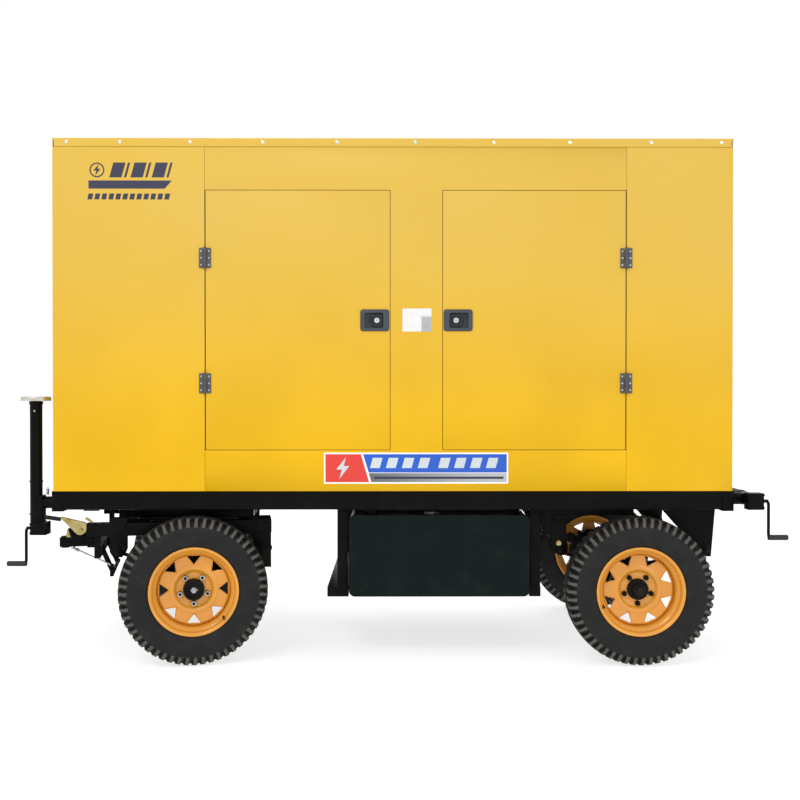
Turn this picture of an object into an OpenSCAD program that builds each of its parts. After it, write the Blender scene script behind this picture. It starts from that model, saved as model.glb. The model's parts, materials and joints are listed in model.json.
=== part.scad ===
// Towable diesel generator: a sound-proof canopy on a four-wheel turntable trailer.
// Millimetres. X runs along the trailer (drawbar end at -X), Y across it (left side at -Y),
// Z up. The origin is on the ground, under the middle of the canopy.

/* [Canopy] */
// Length of the canopy
canopy_l = 3350; // [3100:10:3600]
// Width of the canopy and of the chassis under it
canopy_w = 1250; // [1200:10:1300]
// Height of the canopy from the chassis top to the roof
canopy_h = 1736; // [1700:4:1800]
// Thickness of the sheet steel
sheet = 3; // [2:0.5:4]
// Depth that every panel edge is folded inwards
fold = 30; // [25:1:35]
// Depth of the roof's turned-down lip
roof_lip = 42; // [36:1:50]
// Seam between the front panel and the front doors
seam_front = -926; // [-1000:2:-880]
// Seam between the rear doors and the rear panel
seam_rear = 1148; // [1100:2:1200]
// Front edge of the pillar between the doors
post_front = -14; // [-40:1:0]
// Rear edge of the pillar between the doors
post_rear = 242; // [220:1:260]
// Height of the doors' lower edge above the ground
door_bottom = 1048; // [1020:1:1080]
// Height of the doors' upper edge above the ground
door_top = 2329; // [2280:1:2360]
// Gap round each door
door_gap = 5; // [4:0.5:7]

/* [Hinges and latches] */
// Height of a hinge leaf
hinge_h = 98; // [80:1:110]
// Width of one hinge leaf
hinge_leaf = 29; // [26:1:32]
// Heights of the two hinges of a door
hinge_z = [1378, 1994];
// Width of a latch bezel
latch_w = 143; // [130:1:150]
// Height of a latch bezel
latch_h = 108; // [100:1:116]
// Height of the latches
latch_z = 1688; // [1600:4:1760]
// Distance from a door's free edge to the middle of its latch
latch_inset = 77; // [75:1:84]

/* [Chassis] */
// Height of the chassis top above the ground
deck_z = 846; // [836:1:856]
// Height of a side rail
rail_h = 92; // [85:1:96]
// Length of the side rails
rail_l = 3246; // [3200:2:3246]
// Height of an end beam
beam_h = 100; // [96:1:104]
// Distance from the middle of the canopy to an end beam's outer face
beam_x = 1683; // [1680:1:1690]

/* [Wheels] */
// Outer radius of a tyre
tyre_r = 362; // [356:0.5:368]
// Width of a tyre
tyre_w = 175; // [165:1:180]
// Outer radius of a rim's flange
rim_r = 221; // [219:1:223]
// Distance from the middle line to the middle plane of a wheel
track_half = 640; // [630:1:650]
// Position of the rear axle
rear_axle_x = 1206; // [1180:1:1240]
// Pitch radius of the wheel studs
stud_pitch_r = 69.85; // [69:0.05:71]

/* [Front bogie] */
// Position of the turntable's axis
bogie_x = -1105; // [-1140:1:-1080]
// Steering turn that the bogie stands at, counter-clockwise seen from above
steer_rest = 11; // [0:0.5:14]
// Outer radius of the turntable rings
ring_r = 345; // [320:1:360]

/* [Springs] */
// Half the distance between a spring's eyes
eye_half = 372; // [350:1:380]
// Height of the spring eyes
eye_z = 540; // [535:1:545]
// Distance from the middle line to the middle of a spring
spring_y = 484; // [480:1:486]
// Number of leaves in a spring
leaves = 6; // [4:1:6]
// Thickness of a leaf
leaf_t = 9.4; // [8:0.1:9.4]
// Width of a leaf
leaf_w = 60; // [50:1:60]

/* [Fuel tank] */
// Front and rear faces of the tank
tank_x = [-220, 677];
// Bottom and top of the tank
tank_z = [319, 724];
// Width of the tank
tank_w = 1200; // [1000:10:1200]

/* [Corner jacks] */
// Distance from the middle line to a jack's swivel
jack_y = 560; // [545:1:570]
// Height of the front jacks' swivels
front_swivel_z = 785; // [780:1:800]
// Height of the rear jacks' swivels
rear_swivel_z = 803; // [790:1:806]
// Outer radius of a jack's tube
jack_r = 30; // [28:0.5:32]
// Length of a jack's tube on the foot side of its swivel
jack_tube = 500; // [480:1:505]
// Width of a foot
foot_w = 145; // [120:1:150]
// Drop of the crank's arm
crank_drop = 178; // [160:1:185]

/* [Hidden] */
$fn = 64;

// Canopy
half_l = canopy_l / 2;
half_w = canopy_w / 2;
roof_z = deck_z + canopy_h;
eaves_z = roof_z - roof_lip;
// Each door: seam with its hinges, and its free edge
FRONT = [seam_front, post_front];
REAR = [seam_rear, post_rear];

// Hinge: the pin stands in front of the seam
knuckle_r = 8;
pin_r = 4;
pin_gap = 0.3;
pin_y = half_w + knuckle_r + 1;
leaf_sheet = 4;
knuckle_h = hinge_h / 3;

// Latch
pocket_w = 90;
pocket_h = 73;
pocket_d = 22;
bezel_t = 6;
paddle_w = 62;
paddle_t = 4;
lock_r = 15;

// Machine: the turbocharger and the exhaust riser over it
exhaust_y = 250;

// Chassis
rail_web = 6;
rail_flange = 50;
rail_z = deck_z - rail_h;
beam_z = deck_z - beam_h;
skid_y = 340;
skid_w = 70;
skid_h = 80;
skid_z = deck_z + sheet;
swivel_r = 30;
swivel_bore = 22;
swivel_l = 57;

// Wheels: outwards from the wheel's middle plane
axle_z = tyre_r;
rim_half = 70;
seat_r = 203;
well_r = 184;
rim_t = 5;
disc_out = -10;
hub_r = 51;
spindle_r = 22;
running_gap = 0.3;
// Welded and bolted pieces of one node stand this far apart, so each stays a simple solid
weld_gap = 0.2;
drum_r = 130;
drum_in = -112;
axle_box = 70;
axle_top = axle_z + axle_box / 2;
axle_half = track_half + drum_in - 2;
backing_t = 5;

// Springs: every leaf is an arc round one centre above the axle
seat_t = 12;
leaf_step = 10;
stack_z = axle_top + seat_t + leaves * leaf_step;
camber = eye_z - stack_z;
spring_r = (eye_half * eye_half + camber * camber) / (2 * camber);
eye_r = 20;
eye_bore = 12.3;
eye_pin = 12;

// Bogie
bogie_top = 682;
bogie_bottom = 618;
ring_z = 675;
ring_t = 9;
table_z = 684;
hinge_pin_x = -530;
hinge_pin_z = 525;
bar_w = 50;

// Jacks: outwards from the end beam, and towards the foot from the swivel
tube_x = 97;
tube_wall = 4;
leg_gap = 0.4;
head_in = 39;
head_out = 115;
arm_x = 148;
grip_end = 243;
head_near = -97;
head_far = -159;
head_half = 40;
spindle_z = -128;
spindle_bore = 8.3;
spindle_pin = 8;
foot_z = 520;
foot_t = 6;
foot_rim = 20;
// Each jack: end, side, and its stowed turn about X from foot-up
FRONT_LEFT = [-1, -1, 0];
FRONT_RIGHT = [-1, 1, 90];
REAR_LEFT = [1, -1, -90];
REAR_RIGHT = [1, 1, 0];

YELLOW = [0.93, 0.72, 0.08];
BLACK = [0.07, 0.07, 0.06];
TANK_BLACK = [0.08, 0.11, 0.11];
RUBBER = [0.12, 0.13, 0.13];
RIM_YELLOW = [0.9, 0.62, 0.2];
ZINC = [0.72, 0.68, 0.5];

function sorted(a, b) = [min(a, b), max(a, b)];
// A box between two corners
module block(x, y, z) translate([x[0], y[0], z[0]]) cube([x[1] - x[0], y[1] - y[0], z[1] - z[0]]);
// Cylinders along each axis, between two stations
module bar_x(r, x, y, z) translate([x[0], y, z]) rotate([0, 90, 0]) cylinder(r = r, h = x[1] - x[0]);
module bar_y(r, x, y, z) translate([x, y[1], z]) rotate([90, 0, 0]) cylinder(r = r, h = y[1] - y[0]);
module bar_z(r, x, y, z) translate([x, y, z[0]]) cylinder(r = r, h = z[1] - z[0]);
// A part drawn for the left side, shown on side s (-1 left, +1 right)
module on_side(s) mirror([0, s > 0 ? 1 : 0, 0]) children();
module both_sides() for (s = [-1, 1]) on_side(s) children();
// An upright plate: an outline in X and Z, between two stations in Y
module plate_xz(y, outline) translate([0, y[1], 0]) rotate([90, 0, 0])
    linear_extrude(y[1] - y[0]) polygon(outline);
// A rectangle with rounded corners
module round_rect(w, h, r) {
    square([w - 2 * r, h], center = true);
    square([w, h - 2 * r], center = true);
    for (x = [-1, 1], y = [-1, 1]) translate([x * (w / 2 - r), y * (h / 2 - r)]) circle(r);
}
// Parts of the steered bogie, drawn round its own axis
module on_bogie() translate([bogie_x, 0, 0]) rotate([0, 0, steer_rest]) children();
// A wheel part, drawn with its outward side at +Z, on its axle
module on_wheel(x, s) translate([x, 0, axle_z]) on_side(s) translate([0, -track_half, 0])
    rotate([90, 0, 0]) children();
// A jack part, drawn round its swivel
module on_jack(j) translate([j[0] * beam_x, j[1] * jack_y, j[0] < 0 ? front_swivel_z : rear_swivel_z])
    rotate([j[2], 0, 0]) mirror([j[0] < 0 ? 1 : 0, 0, 0]) children();

// ---- chassis ----
module side_rails() color(BLACK) both_sides() {
    difference() {
        block([-rail_l / 2, rail_l / 2], [-half_w, -half_w + rail_flange], [rail_z, deck_z]);
        block([-rail_l / 2 - 1, rail_l / 2 + 1], [-half_w + rail_web, -half_w + rail_flange + 1],
            [rail_z + rail_web, deck_z - rail_web]);
    }
}

module end_beam() difference() {
    block([rail_l / 2 + 2, beam_x], [-half_w, half_w], [beam_z, deck_z]);
    block([rail_l / 2, beam_x - rail_web], [-half_w + rail_web, half_w - rail_web],
        [beam_z + rail_web, deck_z - rail_web]);
}

module swivel_pipe(s, z) difference() {
    bar_x(swivel_r, [beam_x + weld_gap, beam_x + swivel_l], s * jack_y, z);
    bar_x(swivel_bore, [beam_x, beam_x + swivel_l + 1], s * jack_y, z);
}

module cross_beam(x) block([x - 30, x + 30], [-half_w + rail_flange + 1, half_w - rail_flange - 1],
    [rail_z, deck_z - 1]);

module deck_frame() color(BLACK) {
    for (e = [-1, 1]) mirror([e < 0 ? 1 : 0, 0, 0]) {
        end_beam();
        for (s = [-1, 1]) swivel_pipe(s, e < 0 ? front_swivel_z : rear_swivel_z);
    }
    for (x = [bogie_x - 280, bogie_x + 320, -260, 705, 1500]) cross_beam(x);
    both_sides() block([bogie_x - 313, bogie_x + 381], [-380, -320], [table_z, rail_z - weld_gap]);
    difference() {
        bar_z(ring_r, bogie_x, 0, [table_z - ring_t + 0.5, table_z - weld_gap]);
        bar_z(ring_r - 60, bogie_x, 0, [table_z - ring_t - 1, table_z + 1]);
    }
    both_sides() block([-1400, 1320], [-skid_y - skid_w / 2, -skid_y + skid_w / 2],
        [deck_z, skid_z + skid_h]);
}

// ---- rear suspension ----
module rear_subframe() color(BLACK) both_sides() {
    y_out = -spring_y - 35;
    y_in = -spring_y + 35;
    block([790, 1213], [y_out, y_in], [715, rail_z]);
    difference() {
        block([790, 870], [y_out, y_in], [600, 716]);
        block([798, 862], [y_out + 8, y_in + 1], [611, 705]);
    }
    for (y = [[y_out, y_out + 4.5], [y_in - 4.5, y_in]]) {
        plate_xz(y, [[795, 602], [880, 602], [880, 530], [862, 512], [832, 512], [795, 540]]);
        plate_xz(y, [[1355, rail_z], [1624, rail_z], [1603, 505], [1560, 505], [1540, 545]]);
        plate_xz(y, [[1238, rail_z], [1338, rail_z], [1366, 668], [1320, 668]]);
    }
    block([1212, 1625], [y_out, y_in], [rail_z - 5, rail_z]);
    plate_xz([y_out, y_out + 6], [[703, rail_z], [703, 712], [791, 602], [791, rail_z]]);
    for (x = [-1, 1]) bar_y(eye_pin, rear_axle_x + x * eye_half, [y_out, y_in], eye_z);
}

// A leaf: an arc band round the centre above, from an angle to the same angle behind
module leaf_arc(r, half_angle) {
    n = 16;
    a = [for (i = [0 : n]) -half_angle + 2 * half_angle * i / n];
    polygon(concat(
        [for (t = a) [r * sin(t), stack_z + spring_r - r * cos(t)]],
        [for (i = [n : -1 : 0]) [(r + leaf_t) * sin(a[i]), stack_z + spring_r - (r + leaf_t) * cos(a[i])]]
    ));
}

module leaf_spring() {
    full = asin(eye_half / spring_r);
    for (k = [0 : leaves - 1])
        translate([0, leaf_w / 2, 0]) rotate([90, 0, 0]) linear_extrude(leaf_w)
            leaf_arc(spring_r + k * leaf_step, full * (0.955 - k * 0.14));
    for (e = [-1, 1]) difference() {
        bar_y(eye_r, e * eye_half, [-leaf_w / 2, leaf_w / 2], eye_z);
        bar_y(eye_bore, e * eye_half, [-leaf_w / 2 - 1, leaf_w / 2 + 1], eye_z);
    }
}

module rear_springs() color(BLACK) for (s = [-1, 1])
    translate([rear_axle_x, s * spring_y, 0]) leaf_spring();

// Axle beam with a backing plate and a spindle at each end
module axle() {
    block([-axle_box / 2, axle_box / 2], [-axle_half, axle_half], [axle_z - axle_box / 2, axle_top]);
    both_sides() {
        bar_y(drum_r + 6, 0, [-axle_half - weld_gap - backing_t, -axle_half - weld_gap], axle_z);
        bar_y(spindle_r, 0, [-track_half - 15, -axle_half - 2 * weld_gap - backing_t], axle_z);
    }
}

// Seat under the leaves, and U-bolts over them, drawn up under the axle beam by a plate
module spring_clamp() both_sides() {
    block([-45, 45], [-spring_y - leaf_w / 2, -spring_y + leaf_w / 2], [axle_top + weld_gap, axle_top + seat_t]);
    for (x = [-50, 50], y = [-1, 1]) bar_z(5, x, -spring_y + y * (leaf_w / 2 + 5.8),
        [axle_top - axle_box + weld_gap, stack_z + 24]);
    block([-62, 62], [-spring_y - 41, -spring_y + 41], [axle_top - axle_box - 12, axle_top - axle_box]);
}

module rear_axle() color(BLACK) translate([rear_axle_x, 0, 0]) {
    axle();
    spring_clamp();
}

// ---- fuel tank ----
// Posts and cross members at both ends of the tank, joined by straps under it
module tank_cradle() color(BLACK) {
    for (x = [[tank_x[0] - 110, tank_x[0] - 4], [tank_x[1] + 4, tank_x[1] + 60]])
        block(x, [-560, 560], [tank_z[0] - 7, tank_z[0] + 44]);
    both_sides() {
        for (x = [[tank_x[0] - 60, tank_x[0] - 9], [tank_x[1] + 8, tank_x[1] + 58]])
            block(x, [-560, -527], [tank_z[0] + 44 + weld_gap, rail_z - 1]);
        block([tank_x[0] - 4 + weld_gap, tank_x[1] + 4 - weld_gap], [-430, -370], [tank_z[0] - 7, tank_z[0] - 1]);
    }
}

module fuel_tank() color(TANK_BLACK) {
    difference() {
        block(tank_x, [-tank_w / 2, tank_w / 2], tank_z);
        block([tank_x[0] + 4, tank_x[1] - 4], [-tank_w / 2 + 4, tank_w / 2 - 4],
            [tank_z[0] + 4, tank_z[1] - 4]);
    }
}

// ---- canopy ----
// Slots of an air grille, cut through an end wall: columns and rows
module grille_cuts(x, columns, rows, z0, pitch) for (c = [0 : columns - 1], r = [0 : rows - 1])
    block([x - 20, x + 20], [(c - columns / 2) * 420 + 20, (c - columns / 2) * 420 + 400],
        [z0 + r * pitch, z0 + r * pitch + 26]);

// End shell: end wall, two side panels and their folded edges, open towards the doors
module end_shell(outer, seam) {
    e = sign(outer);
    wall = outer - e * sheet;
    difference() {
        block(sorted(outer, seam), [-half_w, half_w], [deck_z, eaves_z]);
        block(sorted(wall, seam + e * sheet), [-half_w + sheet, half_w - sheet], [deck_z - 1, eaves_z + 1]);
        block(sorted(wall, seam - e), [-half_w + fold, half_w - fold], [deck_z - 1, eaves_z + 1]);
    }
}

module canopy_front() color(YELLOW) difference() {
    end_shell(-half_l, seam_front - 2.5);
    grille_cuts(-half_l, 2, 12, 1000, 60);
}

module canopy_rear() color(YELLOW) difference() {
    end_shell(half_l, seam_rear + 2.5);
    grille_cuts(half_l, 2, 20, 1000, 60);
}

// Door frames of one side: skin round both doors, with folded edges
module door_frame() {
    x0 = seam_front - 1.5;
    x1 = seam_rear + 1.5;
    difference() {
        block([x0, x1], [-half_w, -half_w + fold], [deck_z, eaves_z]);
        block([x0 + sheet, x1 - sheet], [-half_w + sheet, -half_w + fold + 1],
            [door_top + sheet, eaves_z - sheet]);
        block([x0 + sheet, x1 - sheet], [-half_w + sheet, -half_w + fold + 1],
            [deck_z + sheet, door_bottom - sheet]);
        block([post_front + sheet, post_rear - sheet], [-half_w + sheet, -half_w + fold + 1],
            [deck_z + sheet, eaves_z - sheet]);
        for (x = [[x0 - 1, post_front], [post_rear, x1 + 1]])
            block(x, [-half_w - 1, -half_w + fold + 1], [door_bottom, door_top]);
    }
}

module canopy_sides() color(YELLOW) both_sides() door_frame();

module roof() color(YELLOW) difference() {
    block([-half_l - 1, half_l + 1], [-half_w - 3, half_w + 3], [eaves_z + 0.5, roof_z]);
    block([-half_l - 1 + sheet, half_l + 1 - sheet], [-half_w - 3 + sheet, half_w + 3 - sheet],
        [eaves_z, roof_z - sheet]);
    for (x = [-1, 1], y = [-1, 1]) translate([x * (half_l + 1), y * (half_w + 3), eaves_z])
        rotate([0, 0, 45]) cube([16, 16, 60], center = true);
}

// Hinge knuckles over stretches of the hinge's height, counted in thirds
module knuckles(x, z, thirds) for (t = thirds) difference() {
    bar_z(knuckle_r, x, -pin_y, [z - hinge_h / 2 + t * knuckle_h + 0.4,
        z - hinge_h / 2 + (t + 1) * knuckle_h - 0.4]);
    bar_z(pin_r + pin_gap, x, -pin_y, [z - hinge_h, z + hinge_h]);
}

// One leaf on the side d of the seam, cut clear of the other leaf's knuckles
module hinge_leaf(x, z, d, thirds, other) {
    y = [-half_w - leaf_sheet, -half_w - 0.2];
    difference() {
        block(sorted(x + d * 2, x + d * hinge_leaf), y,
            [z - hinge_h / 2, z + hinge_h / 2]);
        for (t = other) bar_z(knuckle_r + 1.4, x, -pin_y, [z - hinge_h / 2 + t * knuckle_h - 0.4,
            z - hinge_h / 2 + (t + 1) * knuckle_h + 0.4]);
        bar_z(pin_r + pin_gap, x, -pin_y, [z - hinge_h, z + hinge_h]);
    }
    knuckles(x, z, thirds);
}

module hinge_leaves() color(BLACK) both_sides() for (x = [seam_front, seam_rear], z = hinge_z) {
    hinge_leaf(x, z, sign(x), [0, 2], [1]);
    bar_z(pin_r, x, -pin_y, [z - hinge_h / 2 - 2, z + hinge_h / 2 + 2]);
    for (e = [-1, 1]) bar_z(pin_r + 2, x, -pin_y, [z + e * (hinge_h / 2 + 2) - 1.5,
        z + e * (hinge_h / 2 + 2) + 1.5]);
}

// ---- doors, drawn for the left side ----
module door_pan(d) {
    x0 = min(d[0], d[1]) + door_gap / 2;
    x1 = max(d[0], d[1]) - door_gap / 2;
    z0 = door_bottom + door_gap / 2;
    z1 = door_top - door_gap / 2;
    latch_x = d[1] + sign(d[0]) * latch_inset;
    difference() {
        block([x0, x1], [-half_w, -half_w + fold - 2], [z0, z1]);
        block([x0 + sheet, x1 - sheet], [-half_w + sheet, -half_w + fold], [z0 + sheet, z1 - sheet]);
        block([latch_x - pocket_w / 2 - 4, latch_x + pocket_w / 2 + 4], [-half_w - 1, -half_w + sheet + 1],
            [latch_z - pocket_h / 2 - 4, latch_z + pocket_h / 2 + 4]);
    }
}

module latch_bezel(latch_x) translate([latch_x, -half_w, latch_z]) {
    difference() {
        translate([0, -0.2, 0]) rotate([90, 0, 0]) linear_extrude(bezel_t) round_rect(latch_w, latch_h, 12);
        block([-pocket_w / 2, pocket_w / 2], [-bezel_t - 1, 1], [-pocket_h / 2, pocket_h / 2]);
    }
    difference() {
        block([-pocket_w / 2 - 3, pocket_w / 2 + 3], [-0.3, pocket_d + 3], [-pocket_h / 2 - 3, pocket_h / 2 + 3]);
        block([-pocket_w / 2, pocket_w / 2], [-1, pocket_d], [-pocket_h / 2, pocket_h / 2]);
    }
}

module door_trim(d) color(BLACK) {
    for (z = hinge_z) hinge_leaf(d[0], z, -sign(d[0]), [1], [0, 2]);
    latch_bezel(d[1] + sign(d[0]) * latch_inset);
}

module paddle(d) color(BLACK) translate([d[1] + sign(d[0]) * latch_inset, -half_w, latch_z])
    mirror([d[0] > 0 ? 1 : 0, 0, 0]) {
        block([-20, 42], [4, 4 + paddle_t], [-pocket_h / 2 + 3, pocket_h / 2 - 3]);
        bar_y(lock_r, 2, [1, 6], 0);
        bar_z(4, 38, 9, [-pocket_h / 2 + 3, pocket_h / 2 - 3]);
        bar_z(2, 38, 9, [-pocket_h / 2 + 0.3, pocket_h / 2 - 0.3]);
    }

// ---- machine inside ----
module engine_block() color([0.2, 0.25, 0.22]) {
    difference() {
        block([120, 900], [-230, 230], [1080, 1500]);
        block([180, 840], [-170, 170], [1140, 1440]);
    }
    block([200, 820], [-180, 180], [960, 1080 - weld_gap]);
    block([140, 880], [-170, 170], [1500 + weld_gap, 1600]);
    block([170, 850], [-120, 120], [1600 + weld_gap, 1680]);
    bar_x(290, [45, 120 - weld_gap], 0, 1270);
    bar_x(100, [900 + weld_gap, 940], 0, 1160);
    bar_x(40, [900 + weld_gap, 1010], 0, 1480);
    block([180, 840], [170 + weld_gap, 290], [1520, 1590]);
    bar_z(28, 520, exhaust_y, [1590 + weld_gap, 1615 - weld_gap]);
    bar_x(85, [420, 620], exhaust_y, 1700);
    for (x = [230, 790], s = [-1, 1])
        block([x - 45, x + 45], sorted(s * (230 + weld_gap), s * 370), [skid_z + skid_h + 1, 1100]);
}

module alternator() color([0.25, 0.35, 0.5]) {
    difference() {
        bar_x(265, [-720, 44], 0, 1270);
        bar_x(200, [-680, 0], 0, 1270);
    }
    block([-620, -200], [-190, 190], [1535 + weld_gap, 1760]);
    for (s = [-1, 1]) block([-640, -100], sorted(s * 180, s * 370), [skid_z + skid_h + 1, 1075]);
}

module radiator() color(BLACK) {
    block([1170, 1250], [-470, 470], [skid_z + skid_h + 1, 2150]);
    difference() {
        bar_x(400, [1075, 1170 - weld_gap], 0, 1480);
        bar_x(385, [1074, 1171], 0, 1480);
    }
}

module cooling_fan() color([0.8, 0.8, 0.75]) {
    bar_x(70, [1085, 1135], 0, 1480);
    bar_x(30, [1012, 1086], 0, 1480);
    for (a = [0 : 45 : 315]) translate([1110, 0, 1480]) rotate([a, 0, 0]) rotate([0, 0, 30])
        block([-2, 2], [-50, 50], [60, 365]);
}

module muffler() color([0.55, 0.5, 0.45]) {
    bar_x(130, [-300, 620], 180, 2260);
    bar_x(45, [620 + weld_gap, 1400], 180, 2260);
    bar_z(45, 520, exhaust_y, [1785 + weld_gap, 2130 - weld_gap]);
    for (x = [-200, 500]) block([x - 20, x + 20], [160, 200], [2390 + weld_gap, roof_z - sheet - 1]);
}

module control_box() color([0.75, 0.75, 0.72]) {
    block([-880, -430], [-520, -360], [1560, 2060]);
    for (x = [-860, -490]) block([x, x + 40], [-440, -400], [deck_z + 1, 1560 - weld_gap]);
    difference() {
        bar_y(20, -500, [-544, -520 - weld_gap], 1640);
        bar_y(8.4, -500, [-545, -525], 1640);
    }
}

module stop_button() color([0.8, 0.1, 0.08]) {
    bar_y(8, -500, [-552, -534], 1640);
    bar_y(20, -500, [-562, -551], 1640);
}

// ---- front bogie ----
module bogie_frame() color(BLACK) on_bogie() {
    both_sides() {
        difference() {
            block([-521, 390], [-spring_y - 35, -spring_y + 35], [bogie_bottom, bogie_top]);
            block([-515, 384], [-spring_y - 29, -spring_y + 36], [bogie_bottom + 6, bogie_top - 6]);
        }
        for (y = [[-spring_y - 35, -spring_y - 30.5], [-spring_y + 30.5, -spring_y + 35]]) {
            plate_xz(y, [[-410, bogie_top + 24], [-326, bogie_top + 24], [-326, 545], [-350, 512],
                [-392, 512], [-410, 540]]);
            plate_xz(y, [[298, bogie_top + 16], [388, bogie_top + 16], [388, 440], [335, 440], [300, 520]]);
        }
        for (x = [-1, 1]) bar_y(eye_pin, x * eye_half, [-spring_y - 35, -spring_y + 35], eye_z);
    }
    for (x = [-255, 255]) block([x - 31, x + 31], [-spring_y + 35 + weld_gap, spring_y - 35 - weld_gap],
        [bogie_bottom, ring_z - ring_t - weld_gap]);
    // Front cross member, hung from the rails at the drawbar's height
    block([-490, -460], [-spring_y + 44, spring_y - 44], [500, 556]);
    both_sides() block([-490, -460], [-spring_y + 35 + weld_gap, -spring_y + 44 - weld_gap],
        [500, bogie_top - 22]);
    difference() {
        bar_z(ring_r, 0, 0, [ring_z - ring_t, ring_z]);
        bar_z(ring_r - 60, 0, 0, [ring_z - ring_t - 1, ring_z + 1]);
    }
    both_sides() block([-565, -490 - weld_gap], [-42, -30], [495, 555]);
    bar_y(12, hinge_pin_x, [-48, 48], hinge_pin_z);
}

module front_springs() color(BLACK) on_bogie() for (s = [-1, 1])
    translate([0, s * spring_y, 0]) leaf_spring();

module front_axle() color(BLACK) on_bogie() {
    axle();
    spring_clamp();
    both_sides() {
        y = [-spring_y + 50, -spring_y + 58];
        block([-250, -75 - weld_gap], y, [axle_z + 70, axle_z + 90]);
        block([-75, -axle_box / 2 - weld_gap], y, [axle_z, axle_z + 90]);
    }
}

module drawbar() color(BLACK) on_bogie() {
    difference() {
        block([-710, -505], [-bar_w / 2, bar_w / 2], [hinge_pin_z - bar_w / 2, hinge_pin_z + bar_w / 2]);
        bar_y(12.3, hinge_pin_x, [-bar_w, bar_w], hinge_pin_z);
        bar_z(12.5, -682, 0, [hinge_pin_z - bar_w, hinge_pin_z + bar_w]);
    }
    difference() {
        plate_xz([-23, -17], [[-668, 598], [-604, 624], [-540, 597], [-545, 549], [-652, 549]]);
        bar_y(7.3, -596, [-24, -16], 592);
    }
}

module brake_lever() color(ZINC) on_bogie() {
    plate_xz([-16, -11], [[-710, 656], [-700, 637], [-662, 614], [-610, 576], [-590, 580],
        [-586, 600], [-604, 620], [-655, 640]]);
    bar_y(7, -596, [-27, 6], 592);
    translate([-700, -13.5, 647]) rotate([0, -80, 0]) cylinder(r = 14, h = 98);
}

// ---- wheels, outward side at +Z ----
// The beads stand inside the rim's flanges, and the sidewalls bulge over them
module tyre() color(RUBBER) {
    half = [
        [tyre_r - 10, 46], [340, 64], [290, 74], [226, 48], [seat_r + 1, 38], [seat_r + 1, 55],
        [seat_r + 6.5, 60.8], [rim_r + 0.5, 63.5], [rim_r + 3, 66], [rim_r + 6, 75], [240, 82],
        [295, tyre_w / 2], [tyre_r - 10, 80], [tyre_r, 56]
    ];
    rotate_extrude($fn = 96) polygon(concat(half,
        [for (i = [len(half) - 1 : -1 : 0]) [half[i][0], -half[i][1]]]));
}

module rim() color(RIM_YELLOW) difference() {
    union() {
        rotate_extrude($fn = 96) polygon([
            [rim_r, -rim_half], [rim_r, -rim_half + rim_t], [seat_r + 6, -62], [seat_r, -56],
            [seat_r, -40], [well_r, -28], [well_r, 28], [seat_r, 40], [seat_r, 56], [seat_r + 6, 62],
            [rim_r, rim_half - rim_t], [rim_r, rim_half], [seat_r - 2, 64], [seat_r - rim_t, 56],
            [seat_r - rim_t, 38], [well_r - rim_t, 26], [well_r - rim_t, -26],
            [seat_r - rim_t, -38], [seat_r - rim_t, -56], [seat_r - 2, -64]
        ]);
        rotate_extrude($fn = 96) polygon([
            [54, disc_out - 6], [54, disc_out], [96, disc_out], [106, disc_out + 6],
            [168, disc_out + 12], [well_r - rim_t + 1, disc_out + 20],
            [well_r - rim_t + 1, disc_out + 12], [168, disc_out + 5], [108, disc_out - 1],
            [98, disc_out - 6]
        ]);
    }
    for (i = [0 : 4]) rotate([0, 0, 72 * i - 90]) translate([stud_pitch_r, 0, -30]) cylinder(r = 8, h = 40);
    for (i = [0 : 7]) rotate([0, 0, 22.5 + 45 * i]) translate([0, 0, -30]) linear_extrude(60)
        polygon([[128, -6], [124, 0], [128, 6], [160, 34], [166, 30], [168, 0], [166, -30], [160, -34]]);
}

// Hub: drum behind the disc, studs through it, and a bearing cap or an open nose
module hub(cap) color(BLACK) {
    difference() {
        union() {
            translate([0, 0, drum_in + 4]) cylinder(r = drum_r, h = 76);
            translate([0, 0, -40]) cylinder(r = 92, h = 40 + disc_out - 6.4);
            translate([0, 0, -40]) cylinder(r = hub_r, h = 48);
            if (cap) {
                translate([0, 0, 7]) cylinder(r = 32, h = 28);
                translate([0, 0, 34]) cylinder(r = 21, h = 19);
            } else {
                translate([0, 0, 7]) cylinder(r = hub_r, h = 22);
            }
        }
        translate([0, 0, drum_in]) cylinder(r = drum_r - 10, h = 64);
        translate([0, 0, drum_in]) cylinder(r = spindle_r + running_gap, h = 16 - drum_in);
        if (!cap) translate([0, 0, 16]) cylinder(r = 38, h = 20);
    }
    for (i = [0 : 4]) rotate([0, 0, 72 * i - 90]) translate([stud_pitch_r, 0, -30]) cylinder(r = 7, h = 44);
}

// ---- corner jacks ----
module jack() color(BLACK) {
    difference() {
        union() {
            bar_z(jack_r, tube_x, 0, [head_near - 1, jack_tube]);
            bar_z(jack_r + 3, tube_x, 0, [jack_tube - 12, jack_tube]);
            block([swivel_l + 1, tube_x - 20], [-28, 28], [head_near - 1, 36]);
            block([head_in, head_out], [-head_half, head_half], [head_far, head_near]);
            bar_x(swivel_bore - running_gap, [4, swivel_l + 2], 0, 0);
        }
        bar_z(jack_r - tube_wall, tube_x, 0, [head_near, jack_tube + 1]);
        bar_x(spindle_bore, [tube_x, head_out + 1], 0, spindle_z);
        bar_y(6, tube_x, [-jack_r - 1, 0], 455);
    }
}

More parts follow.
